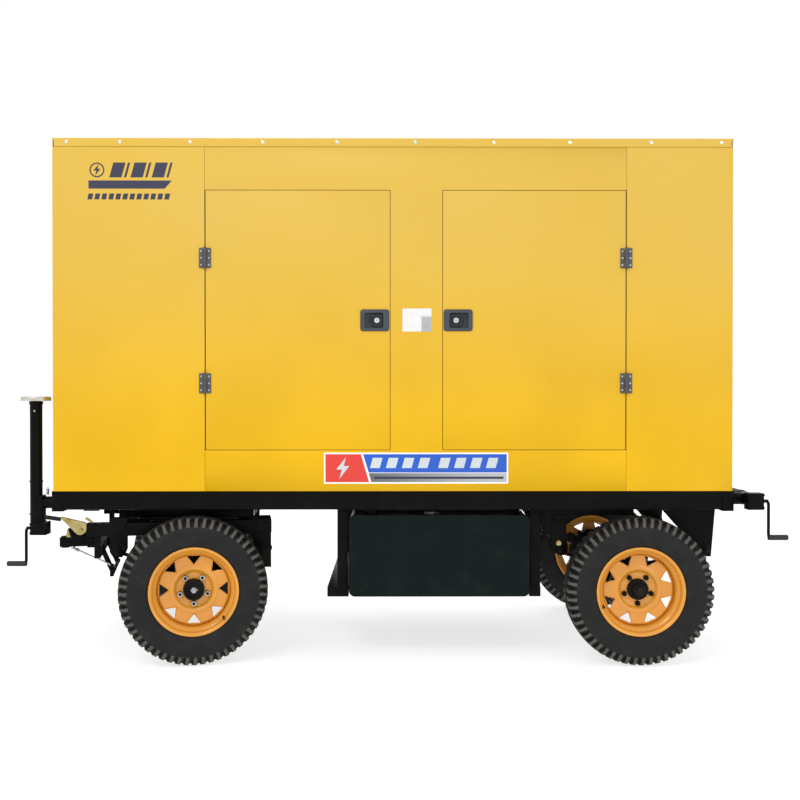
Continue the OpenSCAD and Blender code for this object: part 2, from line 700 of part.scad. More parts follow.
module leg() color([0.8, 0.79, 0.76]) {
    difference() {
        bar_z(jack_r - tube_wall - leg_gap, tube_x, 0, [-60, foot_z + 1]);
        bar_z(jack_r - tube_wall - leg_gap - 4, tube_x, 0, [-61, foot_z - 6]);
    }
    translate([tube_x, 0, 0]) rotate_extrude() polygon([
        [0, foot_z], [foot_w / 2 - 6, foot_z], [foot_w / 2, foot_z - foot_rim + foot_t],
        [foot_w / 2, foot_z - foot_rim + foot_t + 4], [foot_w / 2 - 2, foot_z + foot_t], [0, foot_z + foot_t]
    ]);
}

// Crank, hanging from its spindle whatever way the jack is stowed
module crank(j) {
    a = j[2];
    z = j[0] < 0 ? front_swivel_z : rear_swivel_z;
    color(BLACK) translate([j[0] * beam_x, j[1] * jack_y - spindle_z * sin(a), z + spindle_z * cos(a)])
        mirror([j[0] < 0 ? 1 : 0, 0, 0]) {
            bar_x(spindle_pin, [tube_x + 2, arm_x + 7], 0, 0);
            bar_z(6.5, arm_x, 0, [-crank_drop, 0]);
            bar_x(14, [arm_x - 6, grip_end], 0, -crank_drop);
        }
}

side_rails();
deck_frame();
rear_subframe();
rear_springs();
rear_axle();
tank_cradle();
fuel_tank();
canopy_front();
canopy_rear();
canopy_sides();
roof();
hinge_leaves();
engine_block();
alternator();
radiator();
muffler();
control_box();
bogie_frame();
front_springs();
front_axle();
drawbar();
brake_lever();
cooling_fan();
stop_button();
on_bogie() on_wheel(0, -1) tyre();  // front_left_tyre
on_bogie() on_wheel(0, -1) rim();  // front_left_rim
on_bogie() on_wheel(0, -1) hub(false);  // front_left_hub
on_bogie() on_wheel(0, 1) tyre();  // front_right_tyre
on_bogie() on_wheel(0, 1) rim();  // front_right_rim
on_bogie() on_wheel(0, 1) hub(false);  // front_right_hub
on_wheel(rear_axle_x, -1) tyre();  // rear_left_tyre
on_wheel(rear_axle_x, -1) rim();  // rear_left_rim
on_wheel(rear_axle_x, -1) hub(true);  // rear_left_hub
on_wheel(rear_axle_x, 1) tyre();  // rear_right_tyre
on_wheel(rear_axle_x, 1) rim();  // rear_right_rim
on_wheel(rear_axle_x, 1) hub(true);  // rear_right_hub
on_side(-1) color(YELLOW) door_pan(FRONT);  // left_front_door
on_side(-1) door_trim(FRONT);  // left_front_door_trim
on_side(-1) paddle(FRONT);  // left_front_paddle
on_side(-1) color(YELLOW) door_pan(REAR);  // left_rear_door
on_side(-1) door_trim(REAR);  // left_rear_door_trim
on_side(-1) paddle(REAR);  // left_rear_paddle
on_side(1) color(YELLOW) door_pan(FRONT);  // right_front_door
on_side(1) door_trim(FRONT);  // right_front_door_trim
on_side(1) paddle(FRONT);  // right_front_paddle
on_side(1) color(YELLOW) door_pan(REAR);  // right_rear_door
on_side(1) door_trim(REAR);  // right_rear_door_trim
on_side(1) paddle(REAR);  // right_rear_paddle
on_jack(FRONT_LEFT) jack();  // front_left_jack
on_jack(FRONT_LEFT) leg();  // front_left_leg
crank(FRONT_LEFT);  // front_left_crank
on_jack(FRONT_RIGHT) jack();  // front_right_jack
on_jack(FRONT_RIGHT) leg();  // front_right_leg
crank(FRONT_RIGHT);  // front_right_crank
on_jack(REAR_LEFT) jack();  // rear_left_jack
on_jack(REAR_LEFT) leg();  // rear_left_leg
crank(REAR_LEFT);  // rear_left_crank
on_jack(REAR_RIGHT) jack();  // rear_right_jack
on_jack(REAR_RIGHT) leg();  // rear_right_leg
crank(REAR_RIGHT);  // rear_right_crank
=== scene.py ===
"""Towable diesel generator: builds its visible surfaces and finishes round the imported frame. Metres."""

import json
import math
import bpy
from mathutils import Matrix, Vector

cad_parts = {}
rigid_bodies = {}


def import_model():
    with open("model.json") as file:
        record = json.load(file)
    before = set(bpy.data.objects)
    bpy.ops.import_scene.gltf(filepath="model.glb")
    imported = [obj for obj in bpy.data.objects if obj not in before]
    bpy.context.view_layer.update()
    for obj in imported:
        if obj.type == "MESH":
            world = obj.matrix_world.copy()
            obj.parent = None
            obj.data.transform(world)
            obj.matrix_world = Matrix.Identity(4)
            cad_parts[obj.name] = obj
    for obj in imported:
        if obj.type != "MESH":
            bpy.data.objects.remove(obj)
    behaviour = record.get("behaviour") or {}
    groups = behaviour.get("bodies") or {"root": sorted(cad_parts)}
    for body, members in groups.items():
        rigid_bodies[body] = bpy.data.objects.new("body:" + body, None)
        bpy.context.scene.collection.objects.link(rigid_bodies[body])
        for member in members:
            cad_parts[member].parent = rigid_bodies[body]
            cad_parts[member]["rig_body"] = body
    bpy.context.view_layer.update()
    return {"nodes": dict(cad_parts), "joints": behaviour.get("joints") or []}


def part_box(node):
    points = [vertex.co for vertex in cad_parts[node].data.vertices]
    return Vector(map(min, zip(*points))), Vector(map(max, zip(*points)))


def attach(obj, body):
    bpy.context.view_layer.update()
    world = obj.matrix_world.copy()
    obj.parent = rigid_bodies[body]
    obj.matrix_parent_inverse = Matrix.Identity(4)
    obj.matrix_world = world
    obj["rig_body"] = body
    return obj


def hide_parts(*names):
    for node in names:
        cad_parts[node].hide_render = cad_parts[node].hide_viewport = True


bl_info = {"name": "Towable Diesel Generator", "version": (1, 0, 0), "blender": (4, 5, 0),
    "location": "3D View > Sidebar > Generator",
    "description": "Makes a sound-proof generator on a four-wheel turntable trailer, piece by piece",
    "category": "Add Mesh"}

import bmesh
import bpy
import numpy as np
from mathutils import Vector

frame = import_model()
JOINTS = {joint["name"]: joint for joint in frame["joints"]}

WHEELS = ("front_left", "front_right", "rear_left", "rear_right")
DOORS = ("left_front", "left_rear", "right_front", "right_rear")
SIDES = (("left", -1), ("right", 1))


# ---------------------------------------------------------------- sizes and colours


def srgb(red, green, blue):
    """Linear colour of an sRGB colour given from 0 to 255: ((c + 0.055) / 1.055) to the power 2.4."""
    values = []
    for channel in (red, green, blue):
        c = channel / 255
        values.append(c / 12.92 if c <= 0.04045 else ((c + 0.055) / 1.055) ** 2.4)
    return tuple(values)


def colour_setting(name, description, default):
    return bpy.props.FloatVectorProperty(name=name, description=description, default=default,
        subtype="COLOR", size=3, min=0, max=1)


def size_setting(name, description, default, low, high):
    return bpy.props.FloatProperty(name=name, description=description, default=default, min=low, max=high,
        unit="LENGTH")


class GeneratorCanopySettings(bpy.types.PropertyGroup):
    paint: colour_setting("Paint", "Powder coat of the canopy", srgb(221, 172, 4))
    # a paler, less saturated tone that the canopy's paint turns to towards the top
    top_tone: colour_setting("Faded paint", "Powder coat where the weather has bleached it",
        srgb(206, 172, 78))
    fold_radius: size_setting("Fold radius", "Radius of the folded sheet edges", 0.0012, 0.0005, 0.0015)
    screw_radius: size_setting("Screw radius", "Radius of the roof screws' washers", 0.0085, 0.005, 0.012)
    liner_depth: size_setting("Liner depth", "Thickness of the sound-proofing foam", 0.022, 0.01, 0.024)
    foam: colour_setting("Foam", "Sound-proofing foam", srgb(52, 54, 56))
    band_red: colour_setting("Red band", "Red block of the side band", srgb(212, 52, 42))
    band_blue: colour_setting("Blue band", "Blue part of the side band", srgb(18, 84, 190))
    band_grey: colour_setting("Grey band", "Grey part of the side band", srgb(84, 88, 92))


class GeneratorChassisSettings(bpy.types.PropertyGroup):
    enamel: colour_setting("Enamel", "Chassis enamel", srgb(8, 8, 8))
    tank: colour_setting("Tank enamel", "Fuel tank enamel", srgb(8, 21, 21))
    edge_radius: size_setting("Edge radius", "Radius of the rolled steel edges", 0.006, 0.002, 0.01)
    zinc: colour_setting("Zinc", "Yellow zinc plate", srgb(196, 182, 128))
    galvanised: colour_setting("Galvanised", "Galvanised jack feet", srgb(205, 201, 195))


class GeneratorWheelSettings(bpy.types.PropertyGroup):
    rubber: colour_setting("Rubber", "Tyre rubber", srgb(27, 28, 28))
    rim: colour_setting("Rim paint", "Gloss enamel of the rims", srgb(216, 146, 42))
    lugs: bpy.props.IntProperty(name="Lugs", description="Tread lugs round a tyre", default=55, min=40,
        max=70)
    lug_depth: size_setting("Lug depth", "Depth of the grooves between the lugs", 0.0135, 0.006, 0.014)


class GeneratorStageSettings(bpy.types.PropertyGroup):
    floor: colour_setting("Floor", "Plain pale floor", (0.42, 0.42, 0.42))
    brightness: bpy.props.FloatProperty(name="Brightness", description="Strength of the soft studio light",
        default=1.0, min=0.1, max=4)


# ---------------------------------------------------------------- surfaces as arrays


def lattice(points, wrap_rows=False, wrap_columns=False):
    """Quads between neighbours on a grid of points P[i, j]: (i, j), (i+1, j), (i+1, j+1), (i, j+1)."""
    points = np.asarray(points, float)
    rows, columns = points.shape[:2]
    i = np.arange(rows if wrap_rows else rows - 1)[:, None]
    j = np.arange(columns if wrap_columns else columns - 1)[None, :]
    i2, j2 = (i + 1) % rows, (j + 1) % columns
    corners = [i * columns + j, i2 * columns + j, i2 * columns + j2, i * columns + j2]
    quads = np.stack(np.broadcast_arrays(*corners), -1).reshape(-1, 4)
    return points.reshape(-1, 3), quads.tolist()


def joined(surfaces):
    """One surface from many: points one after another, faces shifted by the points before them."""
    points, faces, offset = [], [], 0
    for surface_points, surface_faces in surfaces:
        points.append(surface_points)
        faces += [[index + offset for index in face] for face in surface_faces]
        offset += len(surface_points)
    return np.concatenate(points), faces


def unit(vectors):
    return vectors / np.maximum(np.linalg.norm(vectors, axis=-1, keepdims=True), 1e-12)


def placed(surface, origin, x, y, z):
    """A surface drawn in local axes, put at P = origin + x p0 + y p1 + z p2."""
    points, faces = surface
    return points @ np.array([x, y, z], float) + np.array(origin, float), faces


def mirrored(surface):
    """The same surface on the other side: P = (x, -y, z)."""
    points, faces = surface
    return points * np.array([1, -1, 1]), [face[::-1] for face in faces]


def both(surface):
    return joined([surface, mirrored(surface)])


def box(low, high):
    """A block between two corners: P = low + (high - low) * (0 or 1 along each axis)."""
    low, high = np.minimum(low, high), np.maximum(low, high)
    steps = np.array([[i >> 2 & 1, i >> 1 & 1, i & 1] for i in range(8)])
    faces = [[0, 1, 3, 2], [4, 6, 7, 5], [0, 4, 5, 1], [2, 3, 7, 6], [0, 2, 6, 4], [1, 5, 7, 3]]
    return low + (high - low) * steps, faces


def prism(outline, low, high, axis="y"):
    """An outline carried straight along an axis from low to high, with a flat cap at each end."""
    outline = np.asarray(outline, float)
    count = len(outline)
    ends = []
    for station in (low, high):
        level = np.full(count, float(station))
        u, v = outline[:, 0], outline[:, 1]
        ends.append(np.stack({"x": (level, u, v), "y": (u, level, v), "z": (u, v, level)}[axis], -1))
    points, faces = lattice(np.stack(ends), wrap_columns=True)
    return points, faces + [list(range(count)), list(range(2 * count - 1, count - 1, -1))]


def revolve(profile, sides, origin=(0, 0, 0), axis=(0, 0, 1), closed=False):
    """A profile of (radius, height) turned about an axis: P = origin + r (a cos t + b sin t) + h axis."""
    profile = np.asarray(profile, float)
    axis = unit(np.array(axis, float))
    a = unit(np.cross(axis, (0, 0, 1) if abs(axis[2]) < 0.9 else (0, 1, 0)))
    b = np.cross(axis, a)
    t = np.arange(sides) * 2 * np.pi / sides
    ring = np.cos(t)[:, None] * a + np.sin(t)[:, None] * b
    points = profile[:, None, :1] * ring + profile[:, None, 1:] * axis + np.array(origin, float)
    return lattice(points, wrap_rows=closed, wrap_columns=True)


def hoop(section, sides, origin=(0, 0, 0), axis=(0, 0, 1)):
    """A closed section of (radius, height) turned about an axis, open in the middle."""
    return revolve(section, sides, origin, axis, closed=True)


def rod(start, end, radius, sides=16, chamfer=0.0):
    """A round bar between two points: a profile (0, 0), (r, 0), (r, l), (0, l) turned about its axis."""
    start, end = np.array(start, float), np.array(end, float)
    length = np.linalg.norm(end - start)
    c = chamfer
    profile = [(0, 0), (radius - c, 0), (radius, c), (radius, length - c), (radius - c, length),
        (0, length)]
    return revolve(profile, sides, start, end - start)


def tube(path, radius, sides=10, normal=None, loop=False):
    """A round section carried along a path: P(s, t) = path(s) + r(s) (n cos t + m sin t)."""
    path = np.asarray(path, float)
    if loop:
        tangent = unit(np.roll(path, -1, 0) - np.roll(path, 1, 0))
    else:
        tangent = unit(np.gradient(path, axis=0))
    if normal is None:
        normal = np.linalg.svd(path - path.mean(0))[2][2]
    n = unit(np.cross(tangent, normal))
    m = np.cross(tangent, n)
    t = np.arange(sides) * 2 * np.pi / sides
    radius = np.broadcast_to(radius, len(path))[:, None, None]
    section = np.cos(t)[None, :, None] * n[:, None] + np.sin(t)[None, :, None] * m[:, None]
    points = path[:, None] + radius * section
    if loop:
        return lattice(points, wrap_rows=True, wrap_columns=True)
    ends = [np.repeat(path[index][None, None], sides, 1) for index in (0, -1)]
    return lattice(np.concatenate([ends[0], points, ends[1]]), wrap_columns=True)


def route(corners, reach, steps=5):
    """A polyline with each corner rounded by B(t) = (1-t)^2 a + 2t(1-t) c + t^2 b, a and b at reach from c."""
    corners = np.asarray(corners, float)
    t = np.linspace(0, 1, steps)[:, None]
    pieces = [corners[:1]]
    for before, corner, after in zip(corners[:-2], corners[1:-1], corners[2:]):
        a = corner + unit(before - corner) * min(reach, np.linalg.norm(before - corner) * 0.45)
        b = corner + unit(after - corner) * min(reach, np.linalg.norm(after - corner) * 0.45)
        pieces.append((1 - t) ** 2 * a + 2 * t * (1 - t) * corner + t**2 * b)
    return np.concatenate(pieces + [corners[-1:]])


def rounded(width, height, radius, steps=5):
    """A rectangle about the origin whose corners are quarter circles: corner centre + r (cos t, sin t)."""
    t = np.linspace(0, np.pi / 2, steps)
    parts = []
    for quarter, (sx, sy) in enumerate(((1, 1), (-1, 1), (-1, -1), (1, -1))):
        centre = np.array([sx * (width / 2 - radius), sy * (height / 2 - radius)])
        angle = t + quarter * np.pi / 2
        parts.append(centre + radius * np.stack([np.cos(angle), np.sin(angle)], -1))
    return np.concatenate(parts)


def bolt(origin, axis, across=0.019, height=0.011, washer=0.016, stud=0.0):
    """A hexagon head on a washer, with the end of its stud: three profiles turned about one axis."""
    r = across / math.sqrt(3)
    parts = [revolve([(0, 0), (washer, 0), (washer, 0.0022), (0, 0.0022)], 20, origin, axis),
        revolve([(0, 0.001), (r, 0.001), (r, height - 0.0015), (r * 0.86, height), (0, height)], 6, origin,
        axis)]
    if stud:
        s = stud
        parts.append(revolve([(0, 0), (s, 0), (s, height + s), (s * 0.7, height + s * 1.4),
            (0, height + s * 1.4)], 12, origin, axis))
    return joined(parts)


# Bolt sizes: across the flats, head height, washer radius, radius of the stud that shows
M5 = (0.008, 0.005, 0.006, 0)
M6 = (0.01, 0.006, 0.007, 0)
M6_HIGH = (0.01, 0.006, 0.008, 0)
M7 = (0.012, 0.007, 0.008, 0)
M7_HIGH = (0.012, 0.007, 0.009, 0)
M8 = (0.013, 0.008, 0.009, 0)
M9 = (0.014, 0.008, 0.01, 0)
M9_HIGH = (0.014, 0.009, 0.01, 0)
M10 = (0.016, 0.008, 0.012, 0)
M10_STUD = (0.016, 0.009, 0.011, 0.005)
M10_STUD_HIGH = (0.016, 0.01, 0.012, 0.0048)
M10_HIGH = (0.016, 0.01, 0.013, 0)
M11_STUD = (0.017, 0.01, 0.012, 0.005)
M11_STUD_HIGH = (0.017, 0.01, 0.013, 0.005)
M12_STUD = (0.018, 0.009, 0.014, 0.005)
M12_STUD_HIGH = (0.018, 0.0095, 0.014, 0.0055)
M12 = (0.018, 0.01, 0.011, 0)
M12_STUD_WIDE = (0.018, 0.011, 0.014, 0.005)
M12_STUD_TALL = (0.018, 0.012, 0.012, 0.006)
M14_STUD = (0.021, 0.011, 0.0135, 0.005)
M18 = (0.027, 0.011, 0.019, 0)
M20 = (0.03, 0.012, 0.019, 0)
M20_HIGH = (0.03, 0.014, 0.021, 0)
M20_STUD = (0.03, 0.014, 0.021, 0.009)


# ---------------------------------------------------------------- pieces


def shade(mesh, angle=None):
    """Smooth shading, broken where two faces meet at more than an angle."""
    mesh.shade_smooth()
    if angle:
        mesh.set_sharp_from_angle(angle=math.radians(angle))


def add_bevel(obj, width, segments=2, angle=32):
    bevel = obj.modifiers.new("Edge radius", "BEVEL")
    bevel.width = width
    bevel.segments = segments
    bevel.limit_method = "ANGLE"
    bevel.angle_limit = math.radians(angle)
    bevel.harden_normals = True
    bevel.use_clamp_overlap = True


def settle(obj, material, body):
    """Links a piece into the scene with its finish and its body."""
    bpy.context.scene.collection.objects.link(obj)
    obj.data.materials.clear()
    obj.data.materials.append(material)
    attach(obj, body)
    return obj


def piece(name, surfaces, finish, body, bevel=0.0, replaces=(), sharp=38, outward=True, at=None):
    """A new object from surfaces drawn in the axes at: doubles merged, faces outwards, hard edges kept."""
    points, faces = placed(joined(surfaces), *at) if at else joined(surfaces)
    mesh = bpy.data.meshes.new(name)
    mesh.from_pydata(points.tolist(), [], faces)
    work = bmesh.new()
    work.from_mesh(mesh)
    bmesh.ops.remove_doubles(work, verts=work.verts, dist=2e-6)
    bmesh.ops.dissolve_degenerate(work, edges=work.edges, dist=1e-7)
    if outward:
        bmesh.ops.recalc_face_normals(work, faces=work.faces)
    work.to_mesh(mesh)
    work.free()
    shade(mesh, None if bevel else sharp)
    obj = bpy.data.objects.new(name, mesh)
    if bevel:
        add_bevel(obj, bevel)
    settle(obj, FINISHES[finish], body)
    if replaces:
        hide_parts(*replaces)
    return obj


def softened(node, finish, width, segments=2):
    """A copy of a CAD node standing for it: flat faces merged, large ones cut to triangles, edges rounded."""
    source = frame["nodes"][node]
    mesh = source.data.copy()
    mesh.name = node + "_finished"
    work = bmesh.new()
    work.from_mesh(mesh)
    bmesh.ops.remove_doubles(work, verts=work.verts, dist=2e-5)
    bmesh.ops.dissolve_limit(work, angle_limit=math.radians(0.6), verts=work.verts, edges=work.edges,
        delimit={"NORMAL"})
    bmesh.ops.triangulate(work, faces=[face for face in work.faces if len(face.verts) > 4])
    work.to_mesh(mesh)
    work.free()
    shade(mesh)
    obj = bpy.data.objects.new(mesh.name, mesh)
    add_bevel(obj, width, segments)
    settle(obj, FINISHES[finish], source["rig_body"])
    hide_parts(node)
    return obj


# ---------------------------------------------------------------- shader expressions


class Sock:
    """A shader value. Arithmetic on it adds Math nodes, and node() adds any other."""

    def __init__(self, tree, socket):
        self.tree, self.socket = tree, socket

    def node(self, kind, settings=None, inputs=None, output=0):
        """Adds a node: its settings first, then the values or links of its sockets."""
        node = self.tree.nodes.new(kind)
        for key, value in (settings or {}).items():
            if key == "stops":
                ramp = node.color_ramp
                while len(ramp.elements) < len(value):
                    ramp.elements.new(0.5)
                for element, (position, colour) in zip(ramp.elements, value):
                    element.position = position
                    element.color = (*colour, 1) if hasattr(colour, "__len__") else (colour,) * 3 + (1,)
            else:
                setattr(node, key, value)
        for key, value in (inputs or {}).items():
            if isinstance(value, Sock):
                self.tree.links.new(value.socket, node.inputs[key])
            elif value is not None:
                target = node.inputs[key]
                if target.type == "RGBA" and len(value) == 3:
                    value = (*value, 1)
                target.default_value = value
        return Sock(self.tree, node.outputs[output])

    def math(self, operation, other=None, third=None):
        inputs = {0: self, 1: other}
        if third is not None:
            inputs[2] = third
        return self.node("ShaderNodeMath", {"operation": operation}, inputs)

    def __add__(self, other):
        return self.math("ADD", other)

    def __radd__(self, other):
        return self.math("ADD", other)

    def __sub__(self, other):
        return self.math("SUBTRACT", other)

    def __rsub__(self, other):
        return self.math("MULTIPLY_ADD", -1.0, other)

    def __mul__(self, other):
        return self.math("MULTIPLY", other)

    def __rmul__(self, other):
        return self.math("MULTIPLY", other)

    def __truediv__(self, other):
        return self.math("DIVIDE", other)

    def __pow__(self, other):
        return self.math("POWER", other)

    def above(self, low, high):
        """Nought below low, one above high, and a smooth step between them."""
        return self.node("ShaderNodeMapRange", {"interpolation_type": "SMOOTHSTEP"},
            {"Value": self, "From Min": low, "From Max": high})

    def mix(self, first, second, blend="MIX"):
        """A colour from first to second by this factor."""
        return self.node("ShaderNodeMix", {"data_type": "RGBA", "blend_type": blend},
            {0: self, 6: first, 7: second}, 2)

    def noise(self, scale, detail=2.0, roughness=0.5):
        """Smooth noise at this place, about 0 to 1."""
        return self.node("ShaderNodeTexNoise", {"noise_dimensions": "3D"},
            {"Vector": self, "Scale": scale, "Detail": detail, "Roughness": roughness})

    def cells(self, scale, feature="F1"):
        return self.node("ShaderNodeTexVoronoi", {"feature": feature}, {"Vector": self, "Scale": scale})

    def stretched(self, x, y, z):
        """The same place with each axis scaled."""
        return self.node("ShaderNodeMapping", {"vector_type": "POINT"},
            {"Vector": self, "Scale": (x, y, z)})

    def parts(self):
        """The three coordinates as values."""
        first = self.node("ShaderNodeSeparateXYZ", {}, {0: self})
        return first, *(Sock(self.tree, first.socket.node.outputs[index]) for index in (1, 2))


class Finish:
    """One material: a Principled shader and the object's own coordinates."""

    def __init__(self, name, **constants):
        self.material = bpy.data.materials.new(name)
        self.material.use_nodes = True
        self.tree = self.material.node_tree
        self.shader = self.tree.nodes["Principled BSDF"]
        start = Sock(self.tree, None)
        self.place = start.node("ShaderNodeTexCoord", output="Object")
        self.put(**constants)

    def put(self, **values):
        """Sets or links the shader's sockets, named with underscores for spaces."""
        for key, value in values.items():
            target = self.shader.inputs[key.replace("_", " ")]
            if isinstance(value, Sock):
                self.tree.links.new(value.socket, target)
            else:
                target.default_value = (*value, 1) if target.type == "RGBA" else value
        return self

    def relief(self, height, distance, strength=1.0):
        """Bumps the surface by a height in units of distance."""
        bump = height.node("ShaderNodeBump", {}, {"Height": height, "Distance": distance,
            "Strength": strength})
        return self.put(Normal=bump)


def paint(name, colour, roughness=0.42, peel=900.0, peel_depth=0.00003, dust=0.0, top_tone=None, coat=0.0,
        chips=0.0, under=(0.16, 0.15, 0.14), shine=0.5, sweep=None):
    """Sprayed paint: fine orange peel, slow colour drift, dust that settles low down, and small chips."""
    finish = Finish(name, Coat_Weight=coat, Coat_Roughness=0.12, IOR=1.5, Specular_IOR_Level=shine)
    place = finish.place
    drift = place.noise(1.7, 3.0)
    fine = place.noise(60.0, 2.0)
    first = tuple(c * 0.94 for c in colour)
    second = tuple(min(c * 1.05, 1) for c in colour)
    base = drift.above(0.3, 0.7).mix(first, second)
    if sweep:
        base = place.parts()[0].above(-0.25, 0.6).mix(base, sweep)
    # towards the top, from 0.95 to 2.3 m, the colour turns patchily to the paler tone given here
    if top_tone:
        height = place.parts()[2]
        base = (height.above(0.95, 2.3) * (0.6 + 0.5 * drift)).mix(base, top_tone)
    rough = roughness + 0.1 * (drift - 0.5) + 0.08 * (fine - 0.5)
    if dust:
        height = place.parts()[2]
        settled = (1 - height.above(0.2, 1.3)) * place.noise(9.0, 5.0, 0.65).above(0.42, 0.75) * dust
        base = settled.mix(base, srgb(142, 134, 120))
        rough = rough + 0.3 * settled
    if chips:
        spots = place.noise(210.0, 3.0, 0.6).above(0.735, 0.75) * place.noise(4.0).above(0.5, 0.66) * chips
        base = spots.mix(base, under)
        rough = rough + 0.25 * spots
    finish.put(Base_Color=base, Roughness=rough)
    peel_height = place.noise(peel, 1.0) + 0.25 * place.noise(peel * 0.3, 1.0)
    return finish.relief(peel_height, peel_depth).material


def moulded(name, colour, roughness=0.5, grain=1500.0, depth=0.00003):
    """Moulded plastic: a fine spark-eroded grain and a little handling shine."""
    finish = Finish(name, IOR=1.46)
    rub = finish.place.noise(22.0, 3.0)
    finish.put(Base_Color=rub.mix(tuple(c * 0.85 for c in colour), tuple(min(1, c * 1.12) for c in colour)),
        Roughness=roughness + 0.16 * (rub - 0.5))
    return finish.relief(finish.place.noise(grain, 1.0), depth).material


def metal(name, colour, roughness=0.35, brushed=(1, 1, 1), stain=None, scale=120.0):
    """Bare or plated metal: drawn scratches along one axis and a patchy stain."""
    finish = Finish(name, Metallic=1.0)
    scratch = finish.place.stretched(*brushed).noise(scale, 4.0, 0.6)
    patch = finish.place.noise(14.0, 4.0, 0.6)
    second = stain or tuple(c * 0.72 for c in colour)
    finish.put(Base_Color=patch.above(0.35, 0.72).mix(colour, second),
        Roughness=roughness + 0.2 * (scratch - 0.5) + 0.15 * patch.above(0.4, 0.8))
    return finish.relief(scratch, 0.00002).material


def rubber(name, colour, roughness=0.62, dust=0.2):
    """Tyre rubber: matt, paler on worn lug tops where the point attribute is positive, and darker in the
    grooves where it is negative, which is painted shade.
    """
    finish = Finish(name, IOR=1.45, Specular_IOR_Level=0.22)
    place = finish.place
    wear = place.node("ShaderNodeAttribute", {"attribute_name": "wear"}, output=2)
    patch = place.noise(11.0, 5.0, 0.65)
    fine = place.noise(420.0, 3.0, 0.6)
    settled = patch.above(0.42, 0.74) * dust
    base = settled.mix(colour, tuple(c * 1.7 + 0.03 for c in colour))
    rubbed = wear.above(0.2, 0.9) * (0.45 + 0.5 * patch)
    base = rubbed.mix(base, srgb(96, 92, 84))
    # painted shade: the grooves, where the attribute is negative, are darkened to a quarter of the rubber's
    # colour
    base = (wear * -1.0).above(0.15, 0.8).mix(base, tuple(c * 0.25 for c in colour))
    finish.put(Base_Color=base, Roughness=roughness + 0.14 * (fine - 0.5) + 0.16 * settled)
    return finish.relief(fine + 0.6 * place.noise(1600.0, 1.0), 0.0001).material


def foam(name, colour):
    """Open-cell foam: rounded pits on a soft matt sheet, the pits painted darker as shade."""
    finish = Finish(name, Sheen_Weight=0.25, Sheen_Roughness=0.6)
    pits = finish.place.cells(260.0)
    # painted shade: the colour darkens to under half towards the bottom of each pit
    finish.put(Base_Color=pits.above(0.1, 0.6).mix(tuple(c * 0.45 for c in colour), colour),
        Roughness=0.9 - 0.1 * pits)
    return finish.relief(pits, 0.0009).material


def crinkled_foil(name):
    """Foil label: bright, with crossing creases."""
    finish = Finish(name, Metallic=0.25)
    x, _, z = finish.place.parts()
    creases = ((x + z) * 260.0).math("SINE") * ((x - z) * 260.0).math("SINE")
    patch = finish.place.noise(40.0, 3.0)
    base = patch.mix((0.66, 0.67, 0.67), (0.84, 0.84, 0.83))
    shadow = x.above(0.135, 0.142) * (1 - z.above(1.7, 1.715)) * (0.4 + 0.5 * patch)
    finish.put(Base_Color=shadow.mix(base, (0.22, 0.23, 0.24)), Roughness=0.2 + 0.25 * patch)
    return finish.relief(creases, 0.0001).material


def glowing(name, colour, strength=0.5):
    """A lens or lamp: clear coat over a tinted body with fine rings."""
    finish = Finish(name, Coat_Weight=0.6, Emission_Strength=strength)
    rings = finish.place.noise(300.0, 1.0)
    tint = rings.mix(colour, tuple(c * 0.7 for c in colour))
    finish.put(Base_Color=tint, Emission_Color=tint, Roughness=0.15 + 0.1 * rings)
    return finish.material


FINISHES = {}


